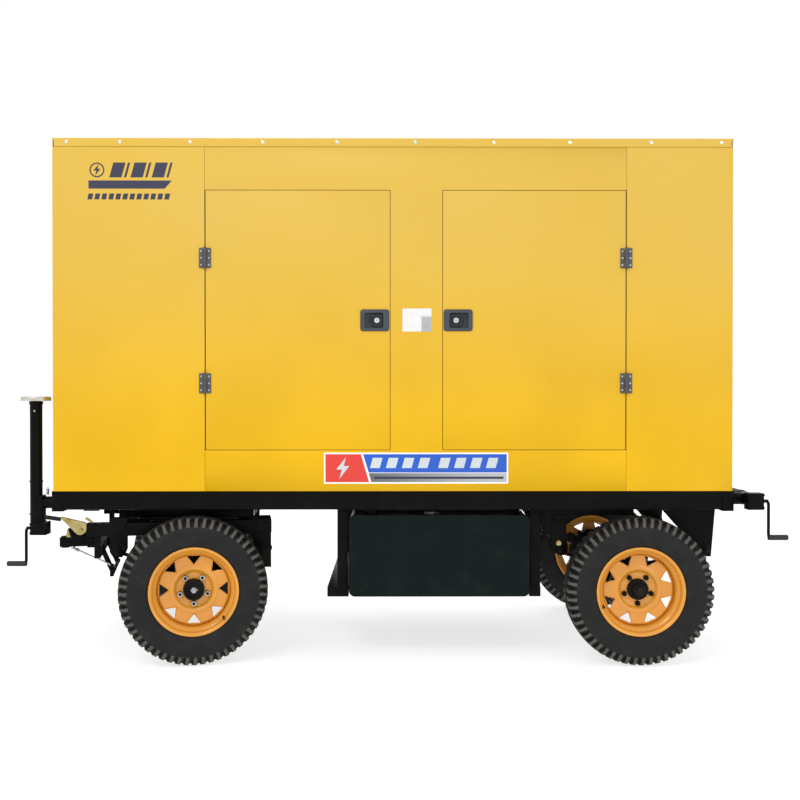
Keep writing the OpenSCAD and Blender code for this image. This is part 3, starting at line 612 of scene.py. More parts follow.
def make_finishes(scene):
    """Every finish once, from the settings."""
    canopy, chassis, wheels = scene.generator_canopy, scene.generator_chassis, scene.generator_wheels
    FINISHES.update(canopy=paint("canopy_powder_coat", canopy.paint, 0.44, 700.0, 0.00004, dust=0.05,
        top_tone=canopy.top_tone, shine=0.2), enamel=paint("chassis_enamel", chassis.enamel, 0.34, 420.0, 0.00005,
        dust=0.02, chips=0.2, shine=0.07), spring=paint("spring_enamel", chassis.enamel, 0.45, 420.0,
        0.00006, dust=0.04, chips=0.4, shine=0.1), tank=paint("tank_enamel", chassis.tank, 0.33, 420.0,
        0.00005, dust=0.02, shine=0.08), rim=paint("rim_enamel", wheels.rim, 0.3, 500.0, 0.00003, dust=0.08,
        coat=0.4), hub=paint("hub_paint", srgb(9, 10, 10), 0.45, 260.0, 0.00012, dust=0.04, chips=0.3,
        shine=0.12), rubber=rubber("tyre_rubber", wheels.rubber), hose=rubber("hose_rubber",
        srgb(30, 31, 32), 0.5, 0.1), hinge=paint("hinge_black_zinc", srgb(66, 70, 77), 0.45, 900.0,
        0.00003), latch=moulded("latch_plastic", srgb(56, 62, 70), 0.42),
        paddle=moulded("paddle_plastic", srgb(20, 21, 23), 0.38), chrome=metal("lock_chrome",
        (0.75, 0.76, 0.78), 0.14), steel=metal("bolt_steel", (0.55, 0.55, 0.56), 0.34),
        brass=metal("brass_bolt", (0.72, 0.56, 0.25), 0.36), zinc=metal("yellow_zinc", chassis.zinc, 0.36,
        (1, 1, 6), srgb(176, 150, 84)), galvanised=metal("galvanised", chassis.galvanised, 0.46,
        stain=srgb(170, 166, 158), scale=40.0), exhaust=metal("exhaust_steel", srgb(150, 140, 128), 0.5,
        (6, 1, 1), srgb(120, 86, 60)), engine=paint("engine_enamel", srgb(84, 96, 88), 0.45, 300.0, 0.0001),
        alternator=paint("alternator_enamel", srgb(70, 92, 120), 0.42, 300.0, 0.0001),
        radiator=paint("radiator_paint", srgb(16, 16, 17), 0.5, 300.0, 0.0001, shine=0.2),
        control=paint("control_powder_coat", srgb(205, 205, 200), 0.5, 320.0, 0.00012),
        nylon=moulded("fan_nylon", srgb(214, 210, 196), 0.5), stop=moulded("stop_button_red",
        srgb(200, 24, 20), 0.25), foam=foam("sound_proofing_foam", canopy.foam),
        foil=crinkled_foil("foil_label"), print_white=paint("print_white", srgb(238, 238, 235), 0.4, 900.0,
        0.00002), print_red=paint("print_red", canopy.band_red, 0.4, 900.0, 0.00002),
        print_blue=paint("print_blue", canopy.band_blue, 0.4, 900.0, 0.00002),
        print_grey=paint("print_grey", canopy.band_grey, 0.4, 900.0, 0.00002, sweep=srgb(172, 176, 180)),
        print_silver=paint("print_silver", srgb(196, 204, 210), 0.3, 900.0, 0.00002),
        screw=metal("screw_zinc", (0.86, 0.87, 0.88), 0.22), print_navy=paint("print_navy",
        srgb(38, 40, 66), 0.4, 900.0, 0.00002), lens_green=glowing("lens_green", srgb(60, 190, 90), 0.3),
        lens_amber=glowing("lens_amber", srgb(240, 160, 30), 0.3), dial=moulded("dial_face",
        srgb(228, 228, 222), 0.35))


# ---------------------------------------------------------------- wheels


def wheel_axes(name):
    """A wheel's middle and its own axes: x along, y up, z outwards."""
    joint = JOINTS[name + "_spin"]
    side = -1 if name.endswith("left") else 1
    z = np.array(joint["axis"], float) * side
    y = np.array([0, 0, 1.0])
    return np.array(joint["pos_m"], float), np.cross(y, z), y, z


def smooth_step(values, low, high):
    """3 t^2 - 2 t^3 with t running from 0 at low to 1 at high."""
    t = np.clip((values - low) / (high - low), 0, 1)
    return t * t * (3 - 2 * t)


def tyre_surface(lugs, depth):
    """A tyre section S(v) = (r, z) turned about the axle, sunk by depth * groove(u, v) along its normal.

    The groove is one between two lugs: a periodic step in u whose phase shifts across the tread, with
    two wavy grooves round the crown. Rings on the sidewall are narrow ridges, h exp(-((r - c) / w)^2).
    The second result marks each point: 1 on top of a worn lug, -1 at the bottom of a groove, where the rubber
    finish paints shade."""
    half = np.array([(0.362, 0.000), (0.3618, 0.012), (0.3615, 0.022), (0.3612, 0.03), (0.3608, 0.04),
        (0.36, 0.052), (0.3588, 0.06), (0.3565, 0.0675), (0.3525, 0.0735), (0.3475, 0.0775), (0.34, 0.081),
        (0.332, 0.0835), (0.324, 0.0852), (0.317, 0.0863), (0.31, 0.087), (0.303, 0.0874), (0.295, 0.0875),
        (0.286, 0.0873), (0.277, 0.0866), (0.268, 0.0854), (0.259, 0.0838), (0.25, 0.0818), (0.242, 0.0795),
        (0.235, 0.0768), (0.2275, 0.0735), (0.2222, 0.07), (0.2205, 0.0665), (0.219, 0.064)])
    distance = np.concatenate([[0], np.cumsum(np.linalg.norm(np.diff(half, axis=0), axis=1))])
    stations = np.concatenate([np.linspace(0, 0.1, 26)[:-1], np.linspace(0.1, distance[-1], 40)])
    r = np.interp(stations, distance, half[:, 0])
    z = np.interp(stations, distance, half[:, 1])
    ridges = np.zeros_like(r)
    for centre, width, rise in ((0.3, 0.0022, 0.0011), (0.2935, 0.002, 0.0009), (0.2875, 0.002, 0.0009),
            (0.256, 0.003, 0.0012), (0.2475, 0.002, 0.0008), (0.233, 0.0025, 0.0012)):
        ridges += rise * np.exp(-(((r - centre) / width) ** 2)) * (z > 0.06)
    r = np.concatenate([r[::-1], r[1:]])
    z = np.concatenate([-z[::-1], z[1:]])
    ridges = np.concatenate([ridges[::-1], ridges[1:]])
    section = np.stack([r, z], -1)
    along = unit(np.gradient(section, axis=0))
    normal = np.stack([-along[:, 1], along[:, 0]], -1)
    normal *= np.sign((normal * (section - np.array([0.29, 0]))).sum(-1, keepdims=True))

    phases = np.array([0.0, 0.05, 0.11, 0.28, 0.45, 0.51, 0.57, 0.785])
    u = (np.arange(lugs)[:, None] + phases[None]).reshape(-1)
    z_abs = np.abs(z)
    step = 0.5 * (z > 0) + 0.16 * smooth_step(z_abs, 0.05, 0.062) + 0.1 * smooth_step(z_abs, 0.078, 0.083)
    cycle = (u[:, None] - step[None]) % 1.0
    slot = smooth_step(cycle, 0.0, 0.05) * (1 - smooth_step(cycle, 0.45, 0.51))
    on_shoulder = smooth_step(z_abs, 0.027, 0.031) * smooth_step(r, 0.313, 0.322)
    crown_cycle = (u[:, None] * 0.5 + 0.3 * (z / 0.03)[None]) % 1.0
    crown_slot = (1 - smooth_step(np.abs(crown_cycle - 0.5), 0.05, 0.09)) * (z_abs < 0.024)
    wave = 0.0255 + 0.0025 * np.sin(u * 2 * np.pi)[:, None]
    ring = 1 - smooth_step(np.abs(z_abs[None] - wave), 0.0025, 0.004)
    sunk = np.maximum(np.maximum(slot * on_shoulder, 0.8 * crown_slot), ring)
    fade = 0.55 + 0.45 * smooth_step(r, 0.32, 0.342)
    offset = ridges[None] - depth * sunk * fade[None]
    radial = r[None] + offset * normal[None, :, 0]
    axial = z[None] + offset * normal[None, :, 1]

    inner_r = np.array([0.209, 0.205, 0.204, 0.206, 0.24, 0.3, 0.345, 0.35, 0.345, 0.3, 0.24, 0.206, 0.204,
        0.205, 0.209])
    inner_z = np.array([0.0605, 0.055, 0.047, 0.04, 0.056, 0.072, 0.058, 0.0, -0.058, -0.072, -0.056, -0.04,
        -0.047, -0.055, -0.0605])
    tread = smooth_step(r, 0.312, 0.322)[None] * smooth_step(z_abs, 0.045, 0.062)[None]
    # positive on worn lug tops; negative in the grooves, which the rubber finish darkens as painted shade
    wear = tread * (1 - sunk) - sunk
    count = len(u)
    wear = np.concatenate([wear, np.zeros((count, len(inner_r)))], 1).reshape(-1)
    radial = np.concatenate([radial, np.broadcast_to(inner_r, (count, len(inner_r)))], 1)
    axial = np.concatenate([axial, np.broadcast_to(inner_z, (count, len(inner_z)))], 1)
    angle = u[:, None] * 2 * np.pi / lugs
    points = np.stack([radial * np.cos(angle), radial * np.sin(angle), axial], -1)
    return lattice(points, wrap_rows=True, wrap_columns=True), wear


def rim_height(radius):
    """Height of the wheel disc over its radius: a flat stud ring, a raised step and a shallow dish."""
    stations = np.array([0.05, 0.074, 0.086, 0.094, 0.102, 0.112, 0.124, 0.14, 0.155, 0.168, 0.176, 0.183])
    heights = np.array([-0.0135, -0.013, -0.011, -0.002, 0.0035, 0.0015, -0.0025, -0.0025, -0.0005, 0.002,
        -0.005, -0.014])
    return np.interp(radius, stations, heights)


def disc_surface(turn):
    """Wheel disc with eight windows, each a rounded triangle pointing inwards.

    In one eighth the grid runs from the window's edge, W(a) = c + q(a) (cos a, sin a), to the
    border of the eighth at the same bearing a: P = W + t (B - W). Its height follows its radius.
    q is the smooth least distance to three edges: the sum of (cos(a - normal) / distance)^8, to -1/8."""
    inner, outer, half_angle, bearings = 0.0525, 0.1815, math.pi / 8, 96
    centre = np.array([0.1505, 0.0])
    a = np.arange(bearings) * 2 * np.pi / bearings
    heading = np.stack([np.cos(a), np.sin(a)], -1)
    q = sum((np.maximum(np.cos(a - normal), 0) / away) ** 8 for normal,
        away in ((0, 0.0175), (2.22, 0.017), (-2.22, 0.017))) ** (-1 / 8)
    window = centre + heading * q[:, None]
    reach = np.linspace(0.001, 0.13, 2600)
    ray = centre + heading[:, None] * reach[None, :, None]
    ray_r = np.linalg.norm(ray, axis=-1)
    ray_t = np.abs(np.arctan2(ray[..., 1], ray[..., 0]))
    inside = (ray_r > inner) & (ray_r < outer) & (ray_t < half_angle)
    border = centre + heading * reach[np.argmin(inside, axis=1)][:, None]
    t = (np.linspace(0, 1, 24) ** 1.15)[:, None, None]
    plane = window + t * (border - window)
    radius = np.linalg.norm(plane, axis=-1)
    edge = np.linalg.norm(plane - window, axis=-1)
    bearing = np.arctan2(plane[..., 1], plane[..., 0])
    radius[-1] = np.where(radius[-1] > outer - 0.0005, outer, np.where(radius[-1] < inner + 0.0005, inner,
        radius[-1]))
    bearing[-1] = np.where(np.abs(bearing[-1]) > half_angle - 0.0008, np.sign(bearing[-1]) * half_angle,
        bearing[-1])
    height = rim_height(radius) - 0.004 * np.exp(-((edge / 0.004) ** 2))
    parts = []
    for eighth in range(8):
        angle = bearing + turn + eighth * math.pi / 4
        parts.append(lattice(np.stack([radius * np.cos(angle), radius * np.sin(angle), height], -1),
            wrap_columns=True))
    return joined(parts)


def barrel_surface():
    """Rim barrel: a closed section with rolled flanges, bead seats and a drop well, turned about the axle."""
    outer = [(0.2155, -0.07), (0.2178, -0.0685), (0.2175, -0.066), (0.214, -0.0645), (0.2105, -0.0628),
        (0.206, -0.059), (0.2035, -0.054), (0.203, -0.042), (0.199, -0.0385), (0.185, -0.029),
        (0.1842, -0.026), (0.1842, 0.026), (0.185, 0.029), (0.199, 0.0385), (0.203, 0.042), (0.2035, 0.054),
        (0.206, 0.059), (0.2105, 0.0628), (0.214, 0.0645), (0.2175, 0.066), (0.2178, 0.0685),
        (0.2155, 0.07)]
    inner = [(0.2115, 0.0688), (0.206, 0.0668), (0.201, 0.0615), (0.1985, 0.055), (0.1982, 0.0425),
        (0.1945, 0.0395), (0.1805, 0.03), (0.1795, 0.026), (0.1795, -0.026), (0.1805, -0.03),
        (0.1945, -0.0395), (0.1982, -0.0425), (0.1985, -0.055), (0.201, -0.0615), (0.206, -0.0668),
        (0.2115, -0.0688)]
    return hoop(outer + inner, 120)


def valve_surface(turn):
    """Valve stem: a rubber cone and a cap, standing out of the barrel."""
    x, y = 0.196 * math.cos(turn), 0.196 * math.sin(turn)
    stem = revolve([(0, 0.036), (0.0075, 0.036), (0.006, 0.046), (0.0042, 0.052), (0.0042, 0.066),
        (0.0052, 0.067), (0.0052, 0.077), (0.004, 0.079), (0, 0.079)], 12, (x, y, 0))
    return stem


def around(surface, count, turn=0.0):
    """Copies of a surface turned about z, evenly spaced from an angle on."""
    copies = []
    for index in range(count):
        c, s = math.cos(turn + index * 2 * math.pi / count), math.sin(turn + index * 2 * math.pi / count)
        copies.append(placed(surface, (0, 0, 0), (c, s, 0), (-s, c, 0), (0, 0, 1)))
    return joined(copies)


def wheel_nuts(washers):
    """Five nuts on the stud circle: hexagon profiles on cones, or only the bright washers under them."""
    stud = (0.06985, 0, -0.0138)
    if washers:
        nut = hoop([(0.0072, 0.015), (0.0118, 0.015), (0.0128, 0.0175), (0.0118, 0.0195), (0.0072, 0.0195)],
            24, stud)
    else:
        nut = hoop([(0.0072, 0), (0.0145, 0), (0.0135, 0.004), (0.0127, 0.005), (0.0127, 0.0165),
            (0.0105, 0.0185), (0.0072, 0.0185)], 6, stud)
    return around(nut, 5, -math.pi / 2)


def hub_profile(front):
    """Hub section (r, z): a drum behind the disc, a stud flange, and an open nose or a stepped cap."""
    body = [(0, -0.046), (0.12, -0.046), (0.12, -0.104), (0.124, -0.108), (0.13, -0.106), (0.13, -0.036),
        (0.126, -0.032), (0.092, -0.032), (0.092, -0.02), (0.09, -0.0178), (0.051, -0.0172)]
    if front:
        nose = [(0.051, 0.025), (0.049, 0.029), (0.04, 0.029), (0.038, 0.027), (0.038, 0.0162), (0, 0.0162)]
    else:
        nose = [(0.051, 0.005), (0.049, 0.008), (0.046, 0.0085), (0.033, 0.0085), (0.032, 0.0105),
            (0.032, 0.031), (0.0305, 0.0345), (0.0225, 0.0355), (0.021, 0.0375), (0.021, 0.05),
            (0.0185, 0.053), (0, 0.0535)]
    return body + nose


def hub_fittings(front):
    """Castle nut and split pin in an open nose, or the ribs round a cap."""
    if front:
        return joined([around(box((0.006, -0.0033, 0.0235), (0.0138, 0.0033, 0.0285)), 6),
            revolve([(0, 0.016), (0.0158, 0.016), (0.0158, 0.0232), (0.0148, 0.0245), (0, 0.0245)], 6),
            revolve([(0, 0.018), (0.007, 0.018), (0.007, 0.031), (0.0058, 0.0325), (0, 0.0325)], 24),
            rod((-0.016, 0, 0.0268), (0.018, 0, 0.0268), 0.0015, 8),
            rod((0.0165, 0, 0.0268), (0.019, 0.007, 0.0275), 0.0015, 8)])
    return joined([around(box((0.0325, -0.0014, 0.008), (0.0465, 0.0014, 0.0125)), 10),
        hoop([(0.0325, 0.02), (0.034, 0.02), (0.034, 0.0225), (0.0325, 0.0225)], 40),
        rod((0, 0, 0.053), (0, 0, 0.056), 0.0065, 6)])


class GENERATOR_OT_wheels(bpy.types.Operator):
    """Make the tyres, rims, hubs, wheel nuts and valves"""

    bl_idname = "generator.wheels"
    bl_label = "Wheels"

    def execute(self, context):
        settings = context.scene.generator_wheels
        tyre, wear = tyre_surface(settings.lugs, settings.lug_depth)
        barrel = barrel_surface()
        for name in WHEELS:
            axes = wheel_axes(name)
            body = name + "_wheel"
            front = name.startswith("front")
            bright = "steel" if front else "hub"
            stud = rod((0.06985, 0, -0.03), (0.06985, 0, 0.0135), 0.007, 16, 0.001)
            tread = piece(name + "_tread", [tyre], "rubber", body, at=axes,
                replaces=[name + "_tyre"], sharp=55)
            tread.data.attributes.new("wear", "FLOAT", "POINT").data.foreach_set("value", wear)
            disc = piece(name + "_rim_disc", [disc_surface(math.pi / 8 * (not front))], "rim", body,
                at=axes, replaces=[name + "_rim"], sharp=0, outward=False)
            sheet = disc.modifiers.new("Sheet", "SOLIDIFY")
            sheet.thickness = 0.0042
            sheet.offset = -1
            add_bevel(disc, 0.0011, 2, 50)
            piece(name + "_rim_barrel", [barrel], "rim", body, at=axes, sharp=0)
            valve = valve_surface(math.radians(-43 if front else 202))
            piece(name + "_valve", [valve], "hose", body, at=axes)
            piece(name + "_drum", [revolve(hub_profile(front), 72), around(stud, 5, -math.pi / 2)], "hub",
                body, at=axes, replaces=[name + "_hub"], sharp=35)
            piece(name + "_wheel_nuts", [wheel_nuts(False)], "hub", body, at=axes,
                bevel=0.0006)
            if front:
                piece(name + "_nut_caps", [wheel_nuts(True)], bright, body, at=axes)
            piece(name + "_hub_fittings", [hub_fittings(front)], bright, body, at=axes,
                bevel=0.0005)
        return {"FINISHED"}


# ---------------------------------------------------------------- canopy


def corners(node):
    """A node's lowest and highest corners as arrays."""
    low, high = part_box(node)
    return np.array(low), np.array(high)


CANOPY_LOW, CANOPY_HIGH = corners("canopy_sides")
SKIN = CANOPY_HIGH[1]
LATCH_Z = JOINTS["left_front_hinge"]["pos_m"][2]


def on_side(surface, side):
    """A surface drawn for the left side, on side -1 (left) or +1 (right)."""
    return mirrored(surface) if side > 0 else surface


def plate(outline, proud, thick=0.0003):
    """A flat plate standing on the left skin: the outline in x and z, from proud to proud + thick outwards."""
    return prism(outline, -SKIN - proud, -SKIN - proud - thick, "y")


def slanted(x0, x1, z0, z1, lean=0.0, lean_end=None):
    """A four-cornered outline whose left and right edges lean by a distance over their height."""
    end = lean if lean_end is None else lean_end
    return [(x0 + lean, z0), (x1 + end, z0), (x1, z1), (x0, z1)]


def bolt_flash(x, z, size):
    """Outline of a zigzag flash, six corners scaled from a unit drawing."""
    unit_flash = np.array([(0.14, 0.5), (-0.3, -0.06), (-0.04, -0.06), (-0.16, -0.5), (0.3, 0.1),
        (0.04, 0.1)])
    return unit_flash * size + (x, z)


def pan_screw(origin, axis, washer):
    """Pan-head screw on a washer: a domed profile turned about its axis."""
    w, h = washer, washer * 0.62
    return revolve([(0, 0), (w, 0), (w, 0.0012), (w * 0.94, 0.0017), (h, 0.0018), (h, 0.0034),
        (h * 0.75, 0.0048), (h * 0.4, 0.0054), (h * 0.16, 0.0055), (h * 0.14, 0.0042), (0, 0.0042)], 20,
        origin, axis)


def wavy_foam(x0, x1, z0, z1, y, depth):
    """Egg-crate foam: height d (0.6 + 0.4 cos 2 pi x/p cos 2 pi z/p), falling to nought at the edges."""
    pitch = 0.048
    x = np.linspace(x0, x1, max(int((x1 - x0) / 0.012), 4))
    z = np.linspace(z0, z1, max(int((z1 - z0) / 0.012), 4))
    grid_x, grid_z = np.meshgrid(x, z, indexing="ij")
    border = np.minimum(np.minimum(grid_x - x0, x1 - grid_x), np.minimum(grid_z - z0, z1 - grid_z))
    wave = 0.6 + 0.4 * np.cos(2 * np.pi * grid_x / pitch) * np.cos(2 * np.pi * grid_z / pitch)
    height = depth * wave * smooth_step(border, 0, 0.012)
    front = np.stack([grid_x, y + height, grid_z], -1)
    back = np.stack([grid_x, np.full_like(grid_x, y), grid_z], -1)
    return joined([lattice(front), lattice(back[::-1])])


class GENERATOR_OT_canopy(bpy.types.Operator):
    """Make the canopy's painted sheets: ends, door frames, doors and roof"""

    bl_idname = "generator.canopy"
    bl_label = "Canopy sheets"

    def execute(self, context):
        fold = context.scene.generator_canopy.fold_radius
        for node in ("canopy_front", "canopy_rear", "canopy_sides", "roof"):
            softened(node, "canopy", fold)
        for door in DOORS:
            softened(door + "_door", "canopy", fold)
        blades = []
        front, rear = corners("canopy_front")[0][0], corners("canopy_rear")[1][0]
        for wall, inward, rows in ((front, 1, 12), (rear, -1, 20)):
            x = wall + inward * 0.0035
            for row in range(rows):
                z = 1.0 + row * 0.06
                outline = [(x, z + 0.032), (x + inward * 0.0015, z + 0.034), (x + inward * 0.04, z - 0.006),
                    (x + inward * 0.0385, z - 0.008)]
                for y in (-0.405, 0.015):
                    blades.append(prism(outline, y, y + 0.39, "y"))
        piece("louvre_blades", blades, "canopy", "chassis", bevel=0.0004)
        return {"FINISHED"}


class GENERATOR_OT_canopy_fittings(bpy.types.Operator):
    """Make the roof screws, the door seals with their lips, and the foam liners"""

    bl_idname = "generator.canopy_fittings"
    bl_label = "Screws, seals and foam"

    def execute(self, context):
        settings = context.scene.generator_canopy
        roof_high = corners("roof")[1]
        z = roof_high[2] - 0.019
        along = (-1.606, -1.342, -0.997, -0.641, -0.275, 0.109, 0.495, 0.87, 1.27, 1.616)
        screws = [pan_screw((x, s * (roof_high[1] - 0.0002), z), (0, s, 0),
            settings.screw_radius) for x in along for s in (-1, 1)]
        screws += [pan_screw((s * (roof_high[0] - 0.0002), y, z), (s, 0, 0),
            settings.screw_radius) for y in (-0.5, -0.17, 0.17, 0.5) for s in (-1, 1)]
        piece("roof_screws", screws, "screw", "chassis", sharp=50)

        for door in DOORS:
            side = -1 if door.startswith("left") else 1
            low, high = corners(door + "_door")
            x0, x1, z0, z1 = low[0] - 0.004, high[0] + 0.004, low[2] - 0.004, high[2] + 0.004
            middle = np.array([(x0 + x1) / 2, (z0 + z1) / 2])
            loop = rounded(x1 - x0, z1 - z0, 0.03, 6) + middle
            path = np.stack([loop[:, 0], np.full(len(loop), -SKIN + 0.0357), loop[:, 1]], -1)
            seal = tube(path, 0.0058, 8, normal=(0, 1, 0), loop=True)
            piece(door + "_seal", [on_side(seal, side)], "hose", "chassis")
            near, far = -SKIN + 0.0018, -SKIN + 0.005
            x0, x1, z0, z1 = low[0] - 0.0042, high[0] + 0.0042, low[2] - 0.0042, high[2] + 0.0042
            w = 0.003
            lips = [box((x0, near, z0), (x0 + w, far, z1)), box((x1 - w, near, z0), (x1, far, z1)),
                box((x0 + w, near, z0), (x1 - w, far, z0 + w)), box((x0 + w, near, z1 - w),
                (x1 - w, far, z1))]
            piece(door + "_lip", [on_side(lip, side) for lip in lips], "hose", "chassis")
            hinge_side = door.endswith("front")
            free = high[0] if hinge_side else low[0]
            split = free + (-0.16 if hinge_side else 0.16)
            inner = -SKIN + 0.0032
            spans = [(low[0] + 0.02, high[0] - 0.02, low[2] + 0.02, LATCH_Z - 0.07),
                (low[0] + 0.02, high[0] - 0.02, LATCH_Z + 0.07, high[2] - 0.02),
                (*sorted((split, low[0] + 0.02 if hinge_side else high[0] - 0.02)), LATCH_Z - 0.062,
                LATCH_Z + 0.062)]
            sheets = [on_side(wavy_foam(*span, inner, settings.liner_depth), side) for span in spans]
            piece(door + "_foam", sheets, "foam", door + "_door", sharp=70)

        liners = []
        top = CANOPY_HIGH[2] + 0.03
        for x0, x1 in ((-1.62, -0.95), (-0.9, 0.1), (0.14, 1.12), (1.17, 1.62)):
            points, faces = wavy_foam(x0, x1, -0.58, 0.58, 0, 0.03)
            liners.append((points[:, [0, 2, 1]] * (1, 1, -1) + (0, 0, top), faces))
        piece("roof_foam", liners, "foam", "chassis", sharp=70)
        return {"FINISHED"}


class GENERATOR_OT_canopy_prints(bpy.types.Operator):
    """Make the foil label, the colour band and the printed mark, all without lettering"""

    bl_idname = "generator.canopy_prints"
    bl_label = "Label, band and mark"

    def execute(self, context):
        x0, x1, z0, z1 = -0.342, 0.567, 0.883, 1.036
        border, gap, lean = 0.0075, 0.011, -0.041
        mid = z0 + border + (z1 - z0 - 2 * border) * 0.33
        cut, low, high = x0 + 0.182, z0 + border, z1 - border
        share = (mid - low) / (high - low)
        blue_z = mid + 0.002
        prints = {"white": [], "red": [], "blue": [], "grey": [], "silver": [], "navy": [], "line": []}
        outline = rounded(x1 - x0, z1 - z0, 0.002, 2) + ((x0 + x1) / 2, (z0 + z1) / 2)
        prints["white"].append(plate(outline, 0.0001))
        prints["red"].append(plate([(x0 + border, low), (cut - lean, low), (cut, high),
            (x0 + border, high)], 0.0004))
        edge = cut + gap
        prints["blue"].append(plate([(edge - lean * (1 - share), blue_z), (x1 - border, blue_z),
            (x1 - border, high), (edge, high)], 0.0004))
        prints["grey"].append(plate([(edge - lean, low), (x1 - border, low), (x1 - border, mid - 0.001),
            (edge - lean * (1 - share), mid - 0.001)], 0.0004))
        prints["silver"].append(plate(bolt_flash(x0 + 0.093, (low + high) / 2, 0.106), 0.0007))
        for index in range(8):
            start = edge + 0.048 + index * 0.0785 + (0.022 if index > 3 else 0)
            prints["silver"].append(plate(slanted(start, start + 0.048, blue_z + 0.022, high - 0.018,
                -0.014), 0.0007))
        prints["line"].append(plate(slanted(edge + 0.055, x1 - 0.022, low + 0.016, low + 0.027, -0.003),
            0.0007))

        left, top = -1.497, 2.462
        prints["navy"].append(plate(bolt_flash(left + 0.0415, top - 0.0365, 0.058), 0.0001))
        circle = hoop([(0.03, 0), (0.0365, 0), (0.0365, 0.0003), (0.03, 0.0003)], 48,
            (left + 0.0415, -SKIN - 0.0001, top - 0.0365), (0, -1, 0))
        prints["navy"].append(circle)
        for index in range(3):
            start = left + 0.122 + index * 0.104
            prints["navy"].append(plate(slanted(start, start + 0.06, top - 0.073, top, -0.02), 0.0001))
            prints["navy"].append(plate(slanted(start + 0.072, start + 0.083, top - 0.073, top, -0.02),
                0.0001))
        prints["navy"].append(plate(slanted(left, left + 0.409, top - 0.128, top - 0.088, 0.0, -0.035),
            0.0001))
        for index in range(12):
            start = left + index * 0.0343
            prints["navy"].append(plate(slanted(start, start + 0.0235, top - 0.181, top - 0.152, -0.006),
                0.0001))

        for name, side in SIDES:
            for key, finish in (("white", "print_white"), ("red", "print_red"), ("blue", "print_blue"),
                    ("grey", "print_grey"), ("silver", "print_silver"), ("line", "print_navy"),
                    ("navy", "print_navy")):
                piece(f"{name}_print_{key}", [on_side(shape, side) for shape in prints[key]], finish,
                    "chassis")
            label = rounded(0.143, 0.113, 0.003, 3) + (0.1165, 1.6895)
            piece(f"{name}_foil_label", [on_side(plate(label, 0.0001, 0.0004), side)], "foil", "chassis")
        return {"FINISHED"}


def hinge_plate(d):
    """Door's half of a hinge about its pin: a flat leaf with its middle third rolled round the pin."""
    third, thick = 0.098 / 3, 0.0038
    skin = 0.009
    leaf = box((0.0096 * d, skin, -0.049), (0.029 * d, skin - thick, 0.049))
    web = box((0.002 * d, skin, -third / 2 + 0.0005), (0.01 * d, skin - thick, third / 2 - 0.0005))
    roll = hoop([(0.0043, -third / 2 + 0.0005), (0.0079, -third / 2 + 0.0005), (0.0079, third / 2 - 0.0005),
        (0.0043, third / 2 - 0.0005)], 32)
    return joined([leaf, web, roll])


def bezel_surface():
    """Latch bezel and its pocket: rings from the pocket's floor out over the lip and round the back.

    A ring is a rounded rectangle w x h moved by s, whose top and bottom bow by b (1 - (2x/w)^2)."""
    rings = []
    for width, height, radius, shift, bow, depth in ((0.002, 0.002, 0.0005, -0.004, 0, 0.0225),
            (0.086, 0.069, 0.006, -0.004, 0, 0.0225), (0.0895, 0.0725, 0.008, -0.004, 0, 0.0205),
            (0.09, 0.073, 0.008, -0.004, 0, -0.006), (0.092, 0.075, 0.009, -0.004, 0, -0.0078),
            (0.096, 0.079, 0.011, -0.004, 0, -0.008), (0.1, 0.083, 0.013, -0.003, 0, -0.0066),
            (0.104, 0.086, 0.014, -0.002, 0, -0.0062), (0.134, 0.097, 0.014, 0.0, 0.003, -0.006),
            (0.14, 0.102, 0.013, 0.0, 0.0035, -0.0052), (0.143, 0.105, 0.012, 0.0, 0.0038, -0.0032),
            (0.143, 0.105, 0.012, 0.0, 0.0038, -0.0002), (0.096, 0.079, 0.01, -0.001, 0, -0.0002),
            (0.096, 0.079, 0.01, -0.001, 0, 0.0247), (0.002, 0.002, 0.0005, -0.001, 0, 0.0247)):
        outline = rounded(width, height, radius, 6)
        x, z = outline[:, 0], outline[:, 1]
        z = z + np.sign(z) * bow * np.maximum(1 - (2 * x / width) ** 2, 0)
        rings.append(np.stack([x + shift, np.full_like(x, depth), z], -1))
    return lattice(np.stack(rings), wrap_columns=True)


def paddle_surface():
    """Latch paddle: a plate with a rolled pulling edge and two ribs, as heights h(x) carried along z."""
    x = np.array([-0.02, -0.0195, -0.016, -0.014, -0.013, -0.011, -0.01, -0.004, -0.003, -0.001, 0.000,
        0.036, 0.04, 0.042])
    y = np.array([0.0062, 0.0042, 0.0032, 0.0032, 0.0022, 0.0022, 0.0036, 0.0036, 0.0026, 0.0026, 0.004,
        0.004, 0.0046, 0.006])
    outline = np.concatenate([np.stack([x, y], -1), [(0.042, 0.0082), (-0.02, 0.0082)]])
    return prism(outline, -0.0332, 0.0332, "z")


